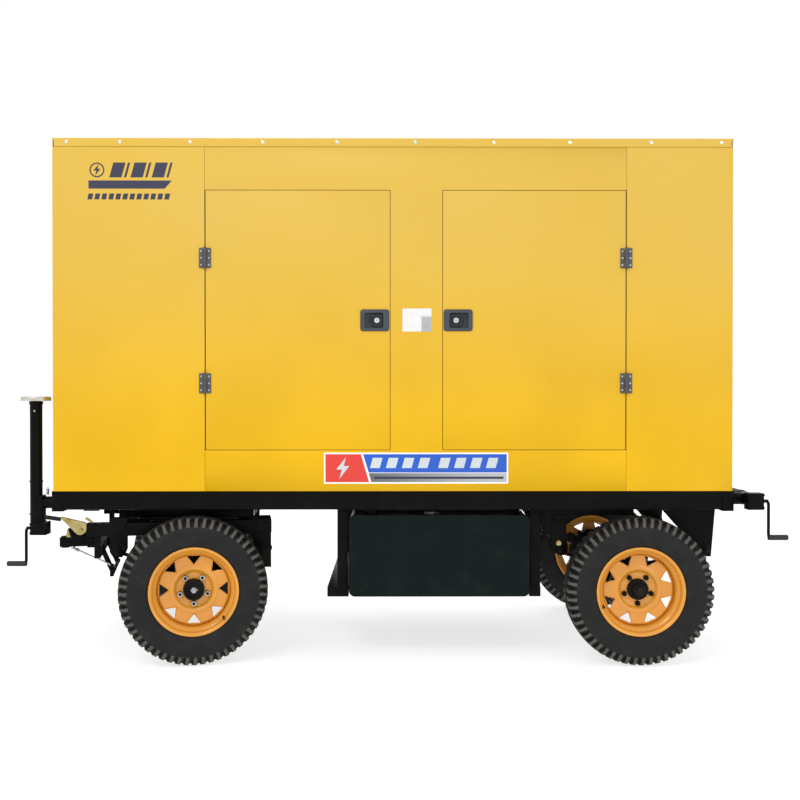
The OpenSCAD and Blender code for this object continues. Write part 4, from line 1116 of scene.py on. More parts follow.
class GENERATOR_OT_hinges_latches(bpy.types.Operator):
    """Make the hinges, the latch bezels and the paddles with their locks"""

    bl_idname = "generator.hinges_latches"
    bl_label = "Hinges and latches"

    def execute(self, context):
        softened("hinge_leaves", "hinge", 0.0006)
        screws = []
        heights = (LATCH_Z - 0.31, LATCH_Z + 0.306)
        for door in DOORS:
            side = -1 if door.startswith("left") else 1
            hinge = JOINTS[door + "_hinge"]["pos_m"]
            to_door = 1 if door.endswith("front") else -1
            pin = (hinge[0], -abs(hinge[1]), 0)
            leaves, door_screws = [], []
            for z in heights:
                leaves.append(on_side(placed(hinge_plate(to_door), (pin[0], pin[1], z), (1, 0, 0),
                    (0, 1, 0), (0, 0, 1)), side))
                for dz in (-0.034, 0, 0.034):
                    for d, batch in ((to_door, door_screws), (-to_door, screws)):
                        x = pin[0] + d * 0.0195
                        head = revolve([(0, 0), (0.0048, 0), (0.004, 0.001), (0.0012, 0.0012),
                            (0.001, 0.0002), (0, 0.0002)], 14, (x, -SKIN - 0.0039, z + dz), (0, -1, 0))
                        batch.append(on_side(head, side))
            latch_x = JOINTS[door + "_latch"]["pos_m"][0] - 0.038 * to_door
            frame_axes = ((latch_x, -SKIN, LATCH_Z), (to_door, 0, 0), (0, 1, 0), (0, 0, 1))
            piece(door + "_hinge_plates", leaves, "hinge", door + "_door", bevel=0.0005)
            piece(door + "_hinge_screws", door_screws, "steel", door + "_door")
            piece(door + "_bezel", [on_side(placed(bezel_surface(), *frame_axes), side)], "latch",
                door + "_door", replaces=[door + "_door_trim"], sharp=50)
            pivot = rod((0.038, 0.0085, -0.0362), (0.038, 0.0085, 0.0362), 0.0035, 16)
            body = door + "_paddle"
            piece(door + "_pull", [on_side(placed(paddle_surface(), *frame_axes), side),
                on_side(placed(pivot, *frame_axes), side)], "paddle", body, bevel=0.0005,
                replaces=[body])
            lock = revolve([(0, -0.0015), (0.003, -0.0015), (0.0035, -0.0025), (0.0105, -0.0025),
                (0.0125, -0.002), (0.0135, -0.0005), (0.0135, 0.004), (0, 0.004)], 40, (0.01, 0.0008, 0),
                (0, 1, 0))
            ring = hoop([(0.0135, 0.0015), (0.0165, 0.0015), (0.0172, 0.0025), (0.0172, 0.0045),
                (0.0135, 0.0045)], 40, (0.01, 0, 0), (0, 1, 0))
            slot_key = box((0.0088, -0.0022, -0.0045), (0.0112, -0.001, 0.0045))
            piece(door + "_lock", [on_side(placed(lock, *frame_axes), side)], "chrome", body)
            piece(door + "_lock_ring", [on_side(placed(ring, *frame_axes), side),
                on_side(placed(slot_key, *frame_axes), side)], "paddle", body, bevel=0.0003)
        piece("frame_hinge_screws", screws, "steel", "chassis")
        return {"FINISHED"}


# ---------------------------------------------------------------- chassis


def rolled_outline(points, radii, steps=4):
    """A closed outline with every corner rounded by (1-t)^2 a + 2t(1-t) c + t^2 b, a and b at r from c."""
    points = np.asarray(points, float)
    before, after = np.roll(points, 1, 0), np.roll(points, -1, 0)
    limit = 0.45 * np.minimum(np.linalg.norm(before - points, axis=1),
        np.linalg.norm(after - points, axis=1))
    reach = np.minimum(np.broadcast_to(radii, len(points)), limit)[:, None]
    a, b = points + unit(before - points) * reach, points + unit(after - points) * reach
    t = np.linspace(0, 1, steps)[None, :, None]
    curve = (1 - t) ** 2 * a[:, None] + 2 * t * (1 - t) * points[:, None] + t**2 * b[:, None]
    return curve.reshape(-1, 2)


def channel_outline(low, high, web, flange, outer):
    """A C section in (y, z) with its back at low y: rolled outer corners and square flange tips."""
    (y0, z0), (y1, z1) = low, high
    points = [(y0, z0), (y1, z0), (y1, z0 + flange), (y0 + web, z0 + flange), (y0 + web, z1 - flange),
        (y1, z1 - flange), (y1, z1), (y0, z1)]
    return rolled_outline(points, np.array([outer, 0.001, 0.001, 0.004, 0.004, 0.001, 0.001, outer]))


def slab(u0, u1, v0, v1, radius, low, high, axis="y"):
    """A rectangle with rounded corners, carried along an axis from low to high."""
    outline = rolled_outline([(u0, v0), (u1, v0), (u1, v1), (u0, v1)], radius)
    return prism(outline, low, high, axis)


def weld_bead(path, radius):
    """A weld: a tube whose radius ripples, r (1 + 0.18 cos k s), along a path."""
    path = np.asarray(path, float)
    lengths = np.concatenate([[0], np.cumsum(np.linalg.norm(np.diff(path, axis=0), axis=1))])
    count = max(int(lengths[-1] / 0.003), 6)
    s = np.linspace(0, lengths[-1], count)
    points = np.stack([np.interp(s, lengths, path[:, k]) for k in range(3)], -1)
    points = points + np.array([0, 0, 1e-6]) * (s**2)[:, None]
    return tube(points, radius * (1 + 0.18 * np.cos(s * 2 * np.pi / 0.009)), 6, normal=(0.13, 0.2, 0.97))


class GENERATOR_OT_chassis(bpy.types.Operator):
    """Make the side rails, the cross frame, the sub-frame and their bolts and welds"""

    bl_idname = "generator.chassis"
    bl_label = "Chassis frame"

    def execute(self, context):
        radius = context.scene.generator_chassis.edge_radius
        low, high = corners("side_rails")
        outline = channel_outline((low[1], low[2]), (low[1] + 0.05, high[2]), 0.006, 0.006, 0.009)
        piece("side_rail_channels", [both(prism(outline, low[0], high[0], "x"))], "enamel", "chassis",
            replaces=["side_rails"], sharp=30)
        softened("deck_frame", "enamel", min(radius, 0.0028))
        softened("rear_subframe", "enamel", 0.0016)
        softened("tank_cradle", "enamel", 0.0025)

        y_out, y_in = -0.519, -0.449
        rear_x = JOINTS["rear_left_spin"]["pos_m"][0]
        eye_x, eye_z = 0.372, 0.54
        dark, bright, brass = [], [], []
        dark.append(bolt((rear_x - eye_x, y_out, eye_z), (0, -1, 0), *M20_STUD))
        dark.append(bolt((rear_x - eye_x, y_in, eye_z), (0, 1, 0), *M20_HIGH))
        bright.append(bolt((rear_x + eye_x, y_out, eye_z), (0, -1, 0), *M20_STUD))
        bright.append(bolt((rear_x + eye_x, y_in, eye_z), (0, 1, 0), *M20_HIGH))
        brass.append(bolt((0.834, y_out, 0.572), (0, -1, 0), *M14_STUD))
        for x in (0.812, 0.85):
            dark.append(bolt((x, y_out + 0.0002, 0.69), (0, -1, 0), *M12_STUD))
        for x in (0.76, 0.9, 1.06, 1.19, 1.3, 1.42, 1.56):
            dark.append(bolt((x, y_out + 0.018, 0.7535), (0, 0, -1),
                *M12_STUD_HIGH) if x > 1.21 else bolt((x, y_out + 0.0002, 0.737), (0, -1, 0), *M10))
        piece("subframe_bolts", [both(joined(dark))], "spring", "chassis", bevel=0.0005)
        piece("hanger_bolts", [both(joined(bright))], "hub", "chassis", bevel=0.0005)
        piece("brass_screws", [both(joined(brass))], "brass", "chassis", bevel=0.0004)

        welds = []
        for x in (0.797, 0.871):
            welds.append(weld_bead([(x, y_out - 0.001, 0.606), (x, y_out - 0.001, 0.705)], 0.0026))
        welds.append(weld_bead([(1.212, y_out - 0.001, 0.7155), (0.792, y_out - 0.001, 0.7155)], 0.0024))
        welds.append(weld_bead([(1.36, y_out - 0.001, 0.7485), (1.616, y_out - 0.001, 0.7485)], 0.0026))
        welds.append(weld_bead([(0.704, y_out + 0.0075, 0.7535), (0.788, y_out + 0.0075, 0.7535)], 0.0026))
        for x in (-0.286, -0.234, 0.679, 0.731):
            welds.append(weld_bead([(x, -0.574, 0.7535), (x, -0.45, 0.7535)], 0.0026))
        piece("chassis_welds", [both(joined(welds))], "spring", "chassis", sharp=0)

        ends = []
        for end, swivel in ((-1, "front_left_swivel"), (1, "rear_left_swivel")):
            z = JOINTS[swivel]["pos_m"][2]
            for y in (-0.56, 0.56):
                x = end * 1.6831
                ends.append(hoop([(0.03, 0), (0.0345, 0), (0.0335, 0.0022), (0.03, 0.0045)], 40, (x, y, z),
                    (end, 0, 0)))
                ends.append(hoop([(0.0225, 0), (0.0305, 0), (0.0305, 0.001), (0.03, 0.002),
                    (0.0225, 0.002)], 40, (end * 1.74, y, z), (end, 0, 0)))
            for y in (-0.3, 0.3):
                shackle = route([(end * 1.683, y - 0.03, 0.8), (end * 1.712, y - 0.03, 0.8),
                    (end * 1.722, y - 0.03, 0.8), (end * 1.722, y + 0.03, 0.8),
                    (end * 1.712, y + 0.03, 0.8), (end * 1.683, y + 0.03, 0.8)], 0.014)
                ends.append(tube(shackle, 0.007, 12, normal=(0, 0, 1)))
                ends.append(slab(y - 0.05, y + 0.05, 0.778, 0.822, 0.008, end * 1.683, end * 1.688, "x"))
        piece("end_beam_fittings", ends, "enamel", "chassis", bevel=0.0005)
        return {"FINISHED"}


class GENERATOR_OT_tank(bpy.types.Operator):
    """Make the fuel tank, its seams, cap, gauge and drain"""

    bl_idname = "generator.tank"
    bl_label = "Fuel tank"

    def execute(self, context):
        low, high = corners("fuel_tank")
        width, height = high[0] - low[0], high[2] - low[2]
        centre = np.array([(low[0] + high[0]) / 2, (low[2] + high[2]) / 2])
        outline_rings = []
        y = low[1]
        stations = ((0.0000, 0.01, 0.02), (0.0004, 0.004, 0.026), (0.0000, 0.0022, 0.028),
            (0.0012, 0.0004, 0.029), (0.004, 0.0000, 0.03), (0.009, 0.0000, 0.03), (0.0105, 0.0012, 0.029),
            (0.012, 0.0026, 0.028))
        half = [(y + depth, inset, radius) for depth, inset, radius in stations]
        full = half + [(-at, inset, radius) for at, inset, radius in half[::-1]]
        for at, inset, radius in full:
            outline = rounded(width - 2 * inset, height - 2 * inset, radius, 7) + centre
            outline_rings.append(np.stack([outline[:, 0], np.full(len(outline), at), outline[:, 1]], -1))
        centres = [np.repeat(np.array([[[centre[0], at + into, centre[1]]]]), outline_rings[0].shape[0],
            1) for at, into in ((y, 0.002), (-y, -0.002))]
        rings = np.concatenate([centres[0], np.stack(outline_rings), centres[1]])
        piece("tank_shell", [lattice(rings, wrap_columns=True)], "tank", "chassis",
            replaces=["fuel_tank"], sharp=60)
        ribs = []
        for z in (low[2] + 0.13, low[2] + 0.27):
            for s in (-1, 1):
                x = low[0] + 0.0004 if s < 0 else high[0] - 0.0004
                rib = rolled_outline([(x, z - 0.012), (x + s * 0.003, z - 0.005),
                    (x + s * 0.003, z + 0.005), (x, z + 0.012)], 0.004)
                ribs.append(prism(rib, -0.52, 0.52, "y"))
        seam = rounded(width + 0.001, height + 0.001, 0.0305, 8) + centre
        for at in (-0.3, 0.0, 0.3):
            ribs.append(tube(np.stack([seam[:, 0], np.full(len(seam), at), seam[:, 1]], -1), 0.0018, 6,
                normal=(0, 1, 0), loop=True))
        piece("tank_seams", ribs, "tank", "chassis", sharp=0)
        cap_x, cap_y, top = low[0] + 0.11, low[1] + 0.085, high[2]
        cap = [revolve([(0, 0), (0.034, 0), (0.034, 0.008), (0.03, 0.01), (0.03, 0.013), (0.038, 0.014),
            (0.038, 0.022), (0.035, 0.0245), (0, 0.0245)], 36, (cap_x, cap_y, top - 0.002)),
            revolve([(0, 0), (0.012, 0), (0.012, 0.012), (0.008, 0.016), (0, 0.016)], 6,
            (cap_x + 0.13, cap_y, top - 0.002)), bolt((centre[0], low[1] + 0.12, low[2] + 0.001),
            (0, 0, -1), *M18)]
        piece("tank_cap_and_drain", cap, "hub", "chassis", bevel=0.0006)
        gauge = [revolve([(0, 0), (0.026, 0), (0.026, 0.006), (0.022, 0.008), (0, 0.008)], 32,
            (cap_x + 0.3, cap_y + 0.02, top - 0.001))]
        for index in range(5):
            turn = index * 2 * math.pi / 5
            gauge.append(bolt((cap_x + 0.3 + 0.033 * math.cos(turn), cap_y + 0.02 + 0.033 * math.sin(turn),
                top - 0.001), (0, 0, 1), *M5))
        piece("tank_gauge", gauge, "steel", "chassis", bevel=0.0004)
        lines = []
        for y0, x0 in ((-0.2, 0.1), (-0.24, 0.14)):
            lines.append(tube(route([(x0, y0, top - 0.004), (x0, y0, top + 0.05),
                (x0 + 0.12, y0, top + 0.06), (x0 + 0.22, y0 + 0.03, top + 0.1),
                (x0 + 0.22, y0 + 0.03, 0.862)], 0.04), 0.007, 10, normal=(0, 1, 0)))
        piece("fuel_lines", lines, "hose", "chassis")
        return {"FINISHED"}


def frame_at(joint):
    """Place and axes of an axle: x along the wheels' forward way, y across to the right, z up."""
    left, right = (np.array(JOINTS[f"{joint}_{side}_spin"]["pos_m"]) for side in ("left", "right"))
    across = unit(right - left)
    middle = (left + right) / 2
    return (middle[0], middle[1], 0), np.cross(across, (0, 0, 1.0)), across, (0, 0, 1.0)


def spring_fittings():
    """Leaf clips, the middle bolt and the U-bolt nuts of the left spring, about the axle's own middle."""
    y0, half = -0.484, 0.03
    clips, nuts = [], []
    camber, eye = 0.54 - 0.469, 0.372
    curve = (eye**2 + camber**2) / (2 * camber)
    for x in (-0.215, -0.135, 0.135, 0.215):
        angle = math.asin(x / curve)
        top = 0.469 + curve - curve * math.cos(angle)
        leaves_there = 2.0 if abs(x) > 0.18 else 4.0
        c, s = math.cos(angle), math.sin(angle)
        drop = leaves_there * 0.01 + 0.0012
        strap = rolled_outline([(-half - 0.005, -drop - 0.004), (half + 0.005, -drop - 0.004),
            (half + 0.005, 0.006), (-half - 0.005, 0.006)], 0.004)
        inner = rolled_outline([(-half - 0.001, -drop), (half + 0.001, -drop), (half + 0.001, 0.002),
            (-half - 0.001, 0.002)], 0.002)
        rings = [np.stack([np.full(len(o), w), o[:, 0], o[:, 1]], -1) for o,
            w in ((strap, -0.012), (strap, 0.012), (inner, 0.012), (inner, -0.012))]
        clips.append(placed(lattice(np.stack(rings), wrap_rows=True, wrap_columns=True), (x, y0, top),
            (c, 0, s), (0, 1, 0), (-s, 0, c)))
        clips.append(placed(joined([bolt((0, -half - 0.005, 0.001), (0, -1, 0), *M7)]), (x, y0, top),
            (c, 0, s), (0, 1, 0), (-s, 0, c)))
    for x in (-0.05, 0.05):
        for y in (-0.0358, 0.0358):
            nuts.append(bolt((x, y0 + y, 0.315), (0, 0, -1), *M10_STUD_HIGH))
        arch = route([(x, y0 - 0.0358, 0.486), (x, y0 - 0.0358, 0.497), (x, y0 + 0.0358, 0.497),
            (x, y0 + 0.0358, 0.486)], 0.01, 6)
        clips.append(tube(arch, 0.0052, 12, normal=(1, 0, 0)))
    clips.append(slab(-0.04, 0.04, 0.47, 0.479, 0.003, y0 - 0.028, y0 + 0.028))
    nuts.append(bolt((0, y0, 0.479), (0, 0, 1), *M12_STUD_TALL))
    return joined(clips), joined(nuts)


class GENERATOR_OT_running_gear(bpy.types.Operator):
    """Make the springs, the axles and their clips, bolts and brake levers"""

    bl_idname = "generator.running_gear"
    bl_label = "Springs and axles"

    def execute(self, context):
        clips, nuts = spring_fittings()
        for end, body in (("front", "bogie"), ("rear", "chassis")):
            softened(end + "_springs", "spring", 0.0014)
            softened(end + "_axle", "spring", 0.002)
            place = frame_at(end)
            piece(end + "_spring_clips", [both(clips)], "spring", body, at=place,
                bevel=0.0006)
            piece(end + "_clamp_nuts", [both(nuts)], "hub", body, at=place, bevel=0.0005)
            drums = []
            for index in range(8):
                turn = index * math.pi / 4 + 0.2
                drums.append(bolt((0.098 * math.cos(turn), -0.5203, 0.362 + 0.098 * math.sin(turn)),
                    (0, 1, 0), *M9))
            drums.append(rod((-0.08, -0.518, 0.436), (-0.08, -0.492, 0.436), 0.009, 16, 0.001))
            drums.append(slab(-0.09, -0.072, 0.428, 0.5, 0.007, -0.5, -0.494))
            piece(end + "_brake_levers", [both(joined(drums))], "hub", body, at=place,
                bevel=0.0005)
            line = route([(-0.04, -0.4, 0.407), (-0.04, -0.3, 0.41), (-0.04, 0.3, 0.41),
                (-0.04, 0.4, 0.407)], 0.03)
            grips = [box((-0.048, y - 0.004, 0.396), (-0.032, y + 0.004, 0.417)) for y in (-0.3, -0.1, 0.1,
                0.3)]
            piece(end + "_axle_line", [tube(line, 0.0045, 8, normal=(1, 0, 0)), joined(grips)], "hose",
                body, at=place, bevel=0.0005)
        return {"FINISHED"}


class GENERATOR_OT_bogie(bpy.types.Operator):
    """Make the steered bogie, its turntable, the drawbar and the brake linkage"""

    bl_idname = "generator.bogie"
    bl_label = "Bogie and drawbar"

    def execute(self, context):
        place = frame_at("front")
        softened("bogie_frame", "enamel", 0.002)
        softened("drawbar", "enamel", 0.002)
        dark, bright = [], []
        for x in (-0.372, 0.372):
            for y, axis in ((-0.519, -1), (-0.449, 1)):
                dark.append(bolt((x, y, 0.54), (0, axis, 0), 0.03, 0.013, 0.021, 0.009 if axis < 0 else 0))
        bright.append(bolt((-0.338, -0.519, 0.56), (0, -1, 0), *M12_STUD_WIDE))
        for x in (0.318, 0.366):
            bright.append(bolt((x, -0.519, 0.664), (0, -1, 0), *M11_STUD_HIGH))
        for x in (-0.395, -0.34):
            dark.append(bolt((x, -0.519, 0.668), (0, -1, 0), *M11_STUD_HIGH))
        piece("bogie_pins", [both(joined(dark))], "spring", "bogie", at=place, bevel=0.0005)
        piece("bogie_bolts", [both(joined(bright))], "hub", "bogie", at=place, bevel=0.0004)
        welds = [weld_bead([(-0.408, -0.52, 0.62), (-0.33, -0.52, 0.62)], 0.0026),
            weld_bead([(0.302, -0.52, 0.62), (0.384, -0.52, 0.62)], 0.0026)]
        piece("bogie_welds", [both(joined(welds))], "spring", "bogie", at=place, sharp=0)

        steer = JOINTS["bogie_steer"]["pos_m"]
        lower = [around(bolt((0.3, 0, -0.0092), (0, 0, -1), *M11_STUD), 12, 0.13),
            hoop([(0.3435, -0.0085), (0.3465, -0.008), (0.3465, -0.001), (0.3435, -0.0005)], 120)]
        upper = [hoop([(0.3435, 0.001), (0.3465, 0.0015), (0.3465, 0.0082), (0.3435, 0.0087)], 120)]
        turn = (np.array(steer), (1, 0, 0), (0, 1, 0), (0, 0, 1))
        piece("turntable_lower_race", lower, "hub", "bogie", at=turn, bevel=0.0004)
        piece("turntable_upper_race", upper, "hub", "chassis", at=turn, bevel=0.0004)

        teeth = np.linspace(-0.25, 1.25, 31)
        outer = 0.07 + 0.002 * (np.arange(31) % 2)
        outline = np.concatenate([np.stack([np.cos(teeth) * outer, np.sin(teeth) * outer], -1),
            np.stack([np.cos(teeth), np.sin(teeth)], -1)[::-1] * 0.056]) + (-0.596, 0.592)
        bracket = rolled_outline([(-0.678, 0.5495), (-0.52, 0.5495), (-0.524, 0.578), (-0.56, 0.59),
            (-0.6, 0.604), (-0.64, 0.6), (-0.672, 0.592)], 0.008)
        parts = [prism(outline, -0.0215, -0.0255, "y"), prism(bracket, -0.0165, -0.0205, "y"),
            bolt((-0.596, -0.0255, 0.592), (0, -1, 0), *M10_STUD), bolt((-0.664, -0.0205, 0.56), (0, -1, 0),
            *M8), bolt((-0.545, -0.0205, 0.562), (0, -1, 0), *M8)]
        piece("brake_ratchet", parts, "zinc", "drawbar", at=place, bevel=0.0005)
        arm = rolled_outline([(-0.701, 0.651), (-0.616, 0.563), (-0.596, 0.562), (-0.574, 0.576),
            (-0.566, 0.604), (-0.573, 0.629), (-0.697, 0.662)], np.array([2, 12, 14, 14, 12, 6, 2]) / 1000)
        lever = [prism(arm, -0.0262, -0.0292, "y"), prism(arm, -0.008, -0.011, "y"),
            prism([(-0.697, 0.6605), (-0.58, 0.6295), (-0.581, 0.6275), (-0.698, 0.6585)], -0.0292, -0.008,
            "y"), rod((-0.664, -0.031, 0.632), (-0.664, -0.006, 0.632), 0.0045, 14, 0.0008)]
        piece("brake_lever_plates", lever, "zinc", "brake_lever", at=place, bevel=0.0005,
            replaces=["brake_lever"])
        grip_start, grip_dir = np.array([-0.7, -0.0135, 0.647]), unit(np.array([-math.sin(math.radians(80)),
            0, math.cos(math.radians(80))]))
        stations = np.linspace(0.004, 0.101, 34)
        bulge = 0.0115 + 0.0009 * np.cos(stations * 2 * np.pi / 0.0117)
        grip = revolve(np.concatenate([[(0, 0.004)], np.stack([bulge, stations], -1),
            [(0.0088, 0.1045), (0, 0.1055)]]), 20, grip_start, grip_dir)
        piece("brake_grip", [grip], "hose", "brake_lever", at=place, sharp=60)
        pawl = [rod((-0.69, -0.006, 0.652), (-0.628, -0.006, 0.622), 0.004, 10),
            revolve([(0, 0), (0.006, 0), (0.007, 0.002), (0.007, 0.012), (0.005, 0.014), (0, 0.014)], 14,
            (-0.69, -0.006, 0.652), (-0.9, 0, 0.43)), bolt((-0.65, -0.0163, 0.628), (0, -1, 0), *M7_HIGH)]
        piece("brake_pawl", pawl, "steel", "brake_lever", at=place, bevel=0.0004)

        start, end = np.array([-0.64, -0.02, 0.4925]), np.array([-0.409, -0.379, 0.452])
        along = unit(end - start)
        rod_low = [rod(start, end, 0.0048, 12), rod(end - along * 0.014, end + along * 0.01, 0.0085, 12,
            0.001), rod(start + along * 0.03, start + along * 0.062, 0.0085, 6),
            rod(start + (0, 0, -0.006), start + (0, 0, 0.01), 0.01, 16, 0.001)]
        piece("brake_rod", rod_low, "steel", "bogie", at=place, sharp=50)
        crank = [prism(rolled_outline([(-0.42, 0.396), (-0.398, 0.396), (-0.4, 0.462), (-0.418, 0.462)],
            0.008), -0.392, -0.384, "y"), rod((-0.409, -0.396, 0.452), (-0.409, -0.372, 0.452), 0.006, 14,
            0.001), rod((-0.409, -0.392, 0.407), (-0.409, 0.06, 0.407), 0.01, 18, 0.001),
            prism(rolled_outline([(-0.489, 0.552), (-0.461, 0.552), (-0.396, 0.4), (-0.42, 0.392)], 0.009),
            0.02, 0.028, "y"), prism(rolled_outline([(-0.489, 0.552), (-0.461, 0.552), (-0.396, 0.4),
            (-0.42, 0.392)], 0.009), -0.3, -0.292, "y")]
        piece("brake_crank", crank, "enamel", "bogie", at=place, bevel=0.0006)
        pin = [rod((-0.53, -0.06, 0.525), (-0.53, 0.06, 0.525), 0.0118, 18, 0.001),
            bolt((-0.53, -0.048, 0.525), (0, -1, 0), *M20), bolt((-0.53, 0.048, 0.525), (0, 1, 0), *M20)]
        piece("drawbar_hinge_pin", pin, "hub", "bogie", at=place, bevel=0.0006)
        sleeve = [hoop([(0.0132, 0), (0.021, 0), (0.0225, 0.003), (0.0225, 0.006), (0.0132, 0.006)], 28,
            (-0.682, 0, 0.55), (0, 0, 1)), hoop([(0.0132, 0), (0.021, 0), (0.0225, 0.003), (0.0225, 0.006),
            (0.0132, 0.006)], 28, (-0.682, 0, 0.5), (0, 0, -1)), prism(rounded(0.034, 0.034, 0.005) + (0,
            0.525), -0.7105, -0.7099, "x")]
        piece("drawbar_collars", sleeve, "hub", "drawbar", at=place, bevel=0.0005)
        return {"FINISHED"}


# ---------------------------------------------------------------- jacks


END_BEAM_FACE = 1.683  # outer face of the end beams, from the middle


def jack_frame(name):
    """A jack's place and axes: x outwards from the end beam, z from its swivel to its foot."""
    swivel = JOINTS[name + "_swivel"]
    out = np.array([-1.0 if name.startswith("front") else 1.0, 0, 0])
    foot = np.array(JOINTS[name + "_leg"]["axis"], float)
    pos = np.array(swivel["pos_m"], float)
    return (END_BEAM_FACE * out[0], pos[1], pos[2]), out, np.cross(foot, out), foot


class GENERATOR_OT_jacks(bpy.types.Operator):
    """Make the four corner jacks with their screws, feet and cranks"""

    bl_idname = "generator.jacks"
    bl_label = "Corner jacks"

    def execute(self, context):
        for name in WHEELS:
            place = jack_frame(name)
            softened(name + "_jack", "enamel", 0.0022)
            softened(name + "_leg", "galvanised", 0.0012)
            parts = [hoop([(0.03, -0.06), (0.0345, -0.06), (0.0345, -0.056), (0.03, -0.052)], 40,
                (0.097, 0, 0), (0, 0, 1)), hoop([(0.0305, 0.1), (0.033, 0.102), (0.033, 0.108),
                (0.0305, 0.11)], 40, (0.097, 0, 0), (0, 0, 1)), hoop([(0.0264, 0.4985), (0.032, 0.499),
                (0.0345, 0.5), (0.0345, 0.5035), (0.0264, 0.504)], 40, (0.097, 0, 0), (0, 0, 1))]
            for y in (-0.03, 0.03):
                for z in (-0.15, -0.106):
                    parts.append(bolt((0.115, y, z), (1, 0, 0), *M6))
            parts.append(hoop([(0.0088, 0), (0.018, 0), (0.018, 0.006), (0.014, 0.009), (0.0088, 0.009)],
                28, (0.115, 0, -0.128), (1, 0, 0)))
            piece(name + "_jack_fittings", parts, "spring", name + "_jack", at=place,
                bevel=0.0005)
            turn = np.linspace(0, 2 * np.pi, 25)[:-1]
            circle = np.stack([np.zeros(24), 0.016 * np.sin(turn), 0.016 * np.cos(turn)], -1) + (0.076, 0.0,
                0.052)
            ring = tube(circle, 0.0018, 8, normal=(1, 0, 0), loop=True)
            pin = [rod((0.04, 0, 0.038), (0.04, 0, 0.064), 0.0065, 14, 0.001),
                revolve([(0, 0), (0.009, 0), (0.009, 0.003), (0.006, 0.005), (0, 0.005)], 16,
                (0.04, 0, 0.062)), placed(ring, (-0.036, 0, 0.006), (1, 0, 0), (0, 1, 0), (0, 0, 1))]
            piece(name + "_lock_pin", pin, "steel", name + "_jack", at=place, bevel=0.0004)
            collar = [revolve([(0, 0.513), (0.03, 0.513), (0.0335, 0.5165), (0.0335, 0.5195), (0, 0.5195)],
                36, (0.097, 0, 0)), around(revolve([(0, 0.0), (0.0065, 0.0), (0.0055, 0.0022), (0, 0.0022)],
                12, (0.052, 0, 0.526)), 4, 0.78)]
            collar[1] = (collar[1][0] + (0.097, 0, 0), collar[1][1])
            piece(name + "_foot_collar", collar, "galvanised", name + "_leg", at=place,
                bevel=0.0005)

            crank = JOINTS[name + "_crank"]["pos_m"]
            out = place[1]
            hang = ((END_BEAM_FACE * out[0], crank[1], crank[2]), out, np.cross((0, 0, 1.0), out),
                (0, 0, 1.0))
            bend = route([(0.099, 0, 0), (0.148, 0, 0), (0.148, 0, -0.178), (0.243, 0, -0.178)], 0.018, 6)
            arm = [tube(bend, 0.0074, 14, normal=(0, 1, 0)), rod((0.099, 0, 0), (0.146, 0, 0), 0.0079, 18)]
            piece(name + "_crank_arm", arm, "enamel", name + "_crank", at=hang,
                replaces=[name + "_crank"], sharp=50)
            stations = np.linspace(0.15, 0.236, 40)
            radius = 0.0135 + 0.0006 * np.cos((stations - 0.15) * 2 * np.pi / 0.0108)
            grip = np.concatenate([[(0.0078, 0.146), (0.0115, 0.1462)], np.stack([radius, stations], -1),
                [(0.0128, 0.2405), (0.0105, 0.2428), (0.0, 0.2435)]])
            piece(name + "_crank_grip", [revolve(grip, 24, (0, 0, -0.178), (1, 0, 0))], "paddle",
                name + "_crank", at=hang, sharp=60)
        return {"FINISHED"}


# ---------------------------------------------------------------- machine inside


CONTROL_FACE = -0.5205  # outer face of the control box


def finned_drum(start, end, radius, fins, fin, sides=64):
    """A ribbed drum: radius r + f max(cos k s, 0)^0.3 along its axis."""
    s = np.linspace(0, 1, fins * 6 + 1)
    length = np.linalg.norm(np.array(end) - np.array(start))
    ripple = radius + fin * np.maximum(np.cos((s * fins + 0.5) * 2 * np.pi), 0) ** 0.35
    profile = np.concatenate([[(0, 0)], np.stack([ripple, s * length], -1), [(0, length)]])
    return revolve(profile, sides, start, np.array(end, float) - np.array(start, float))


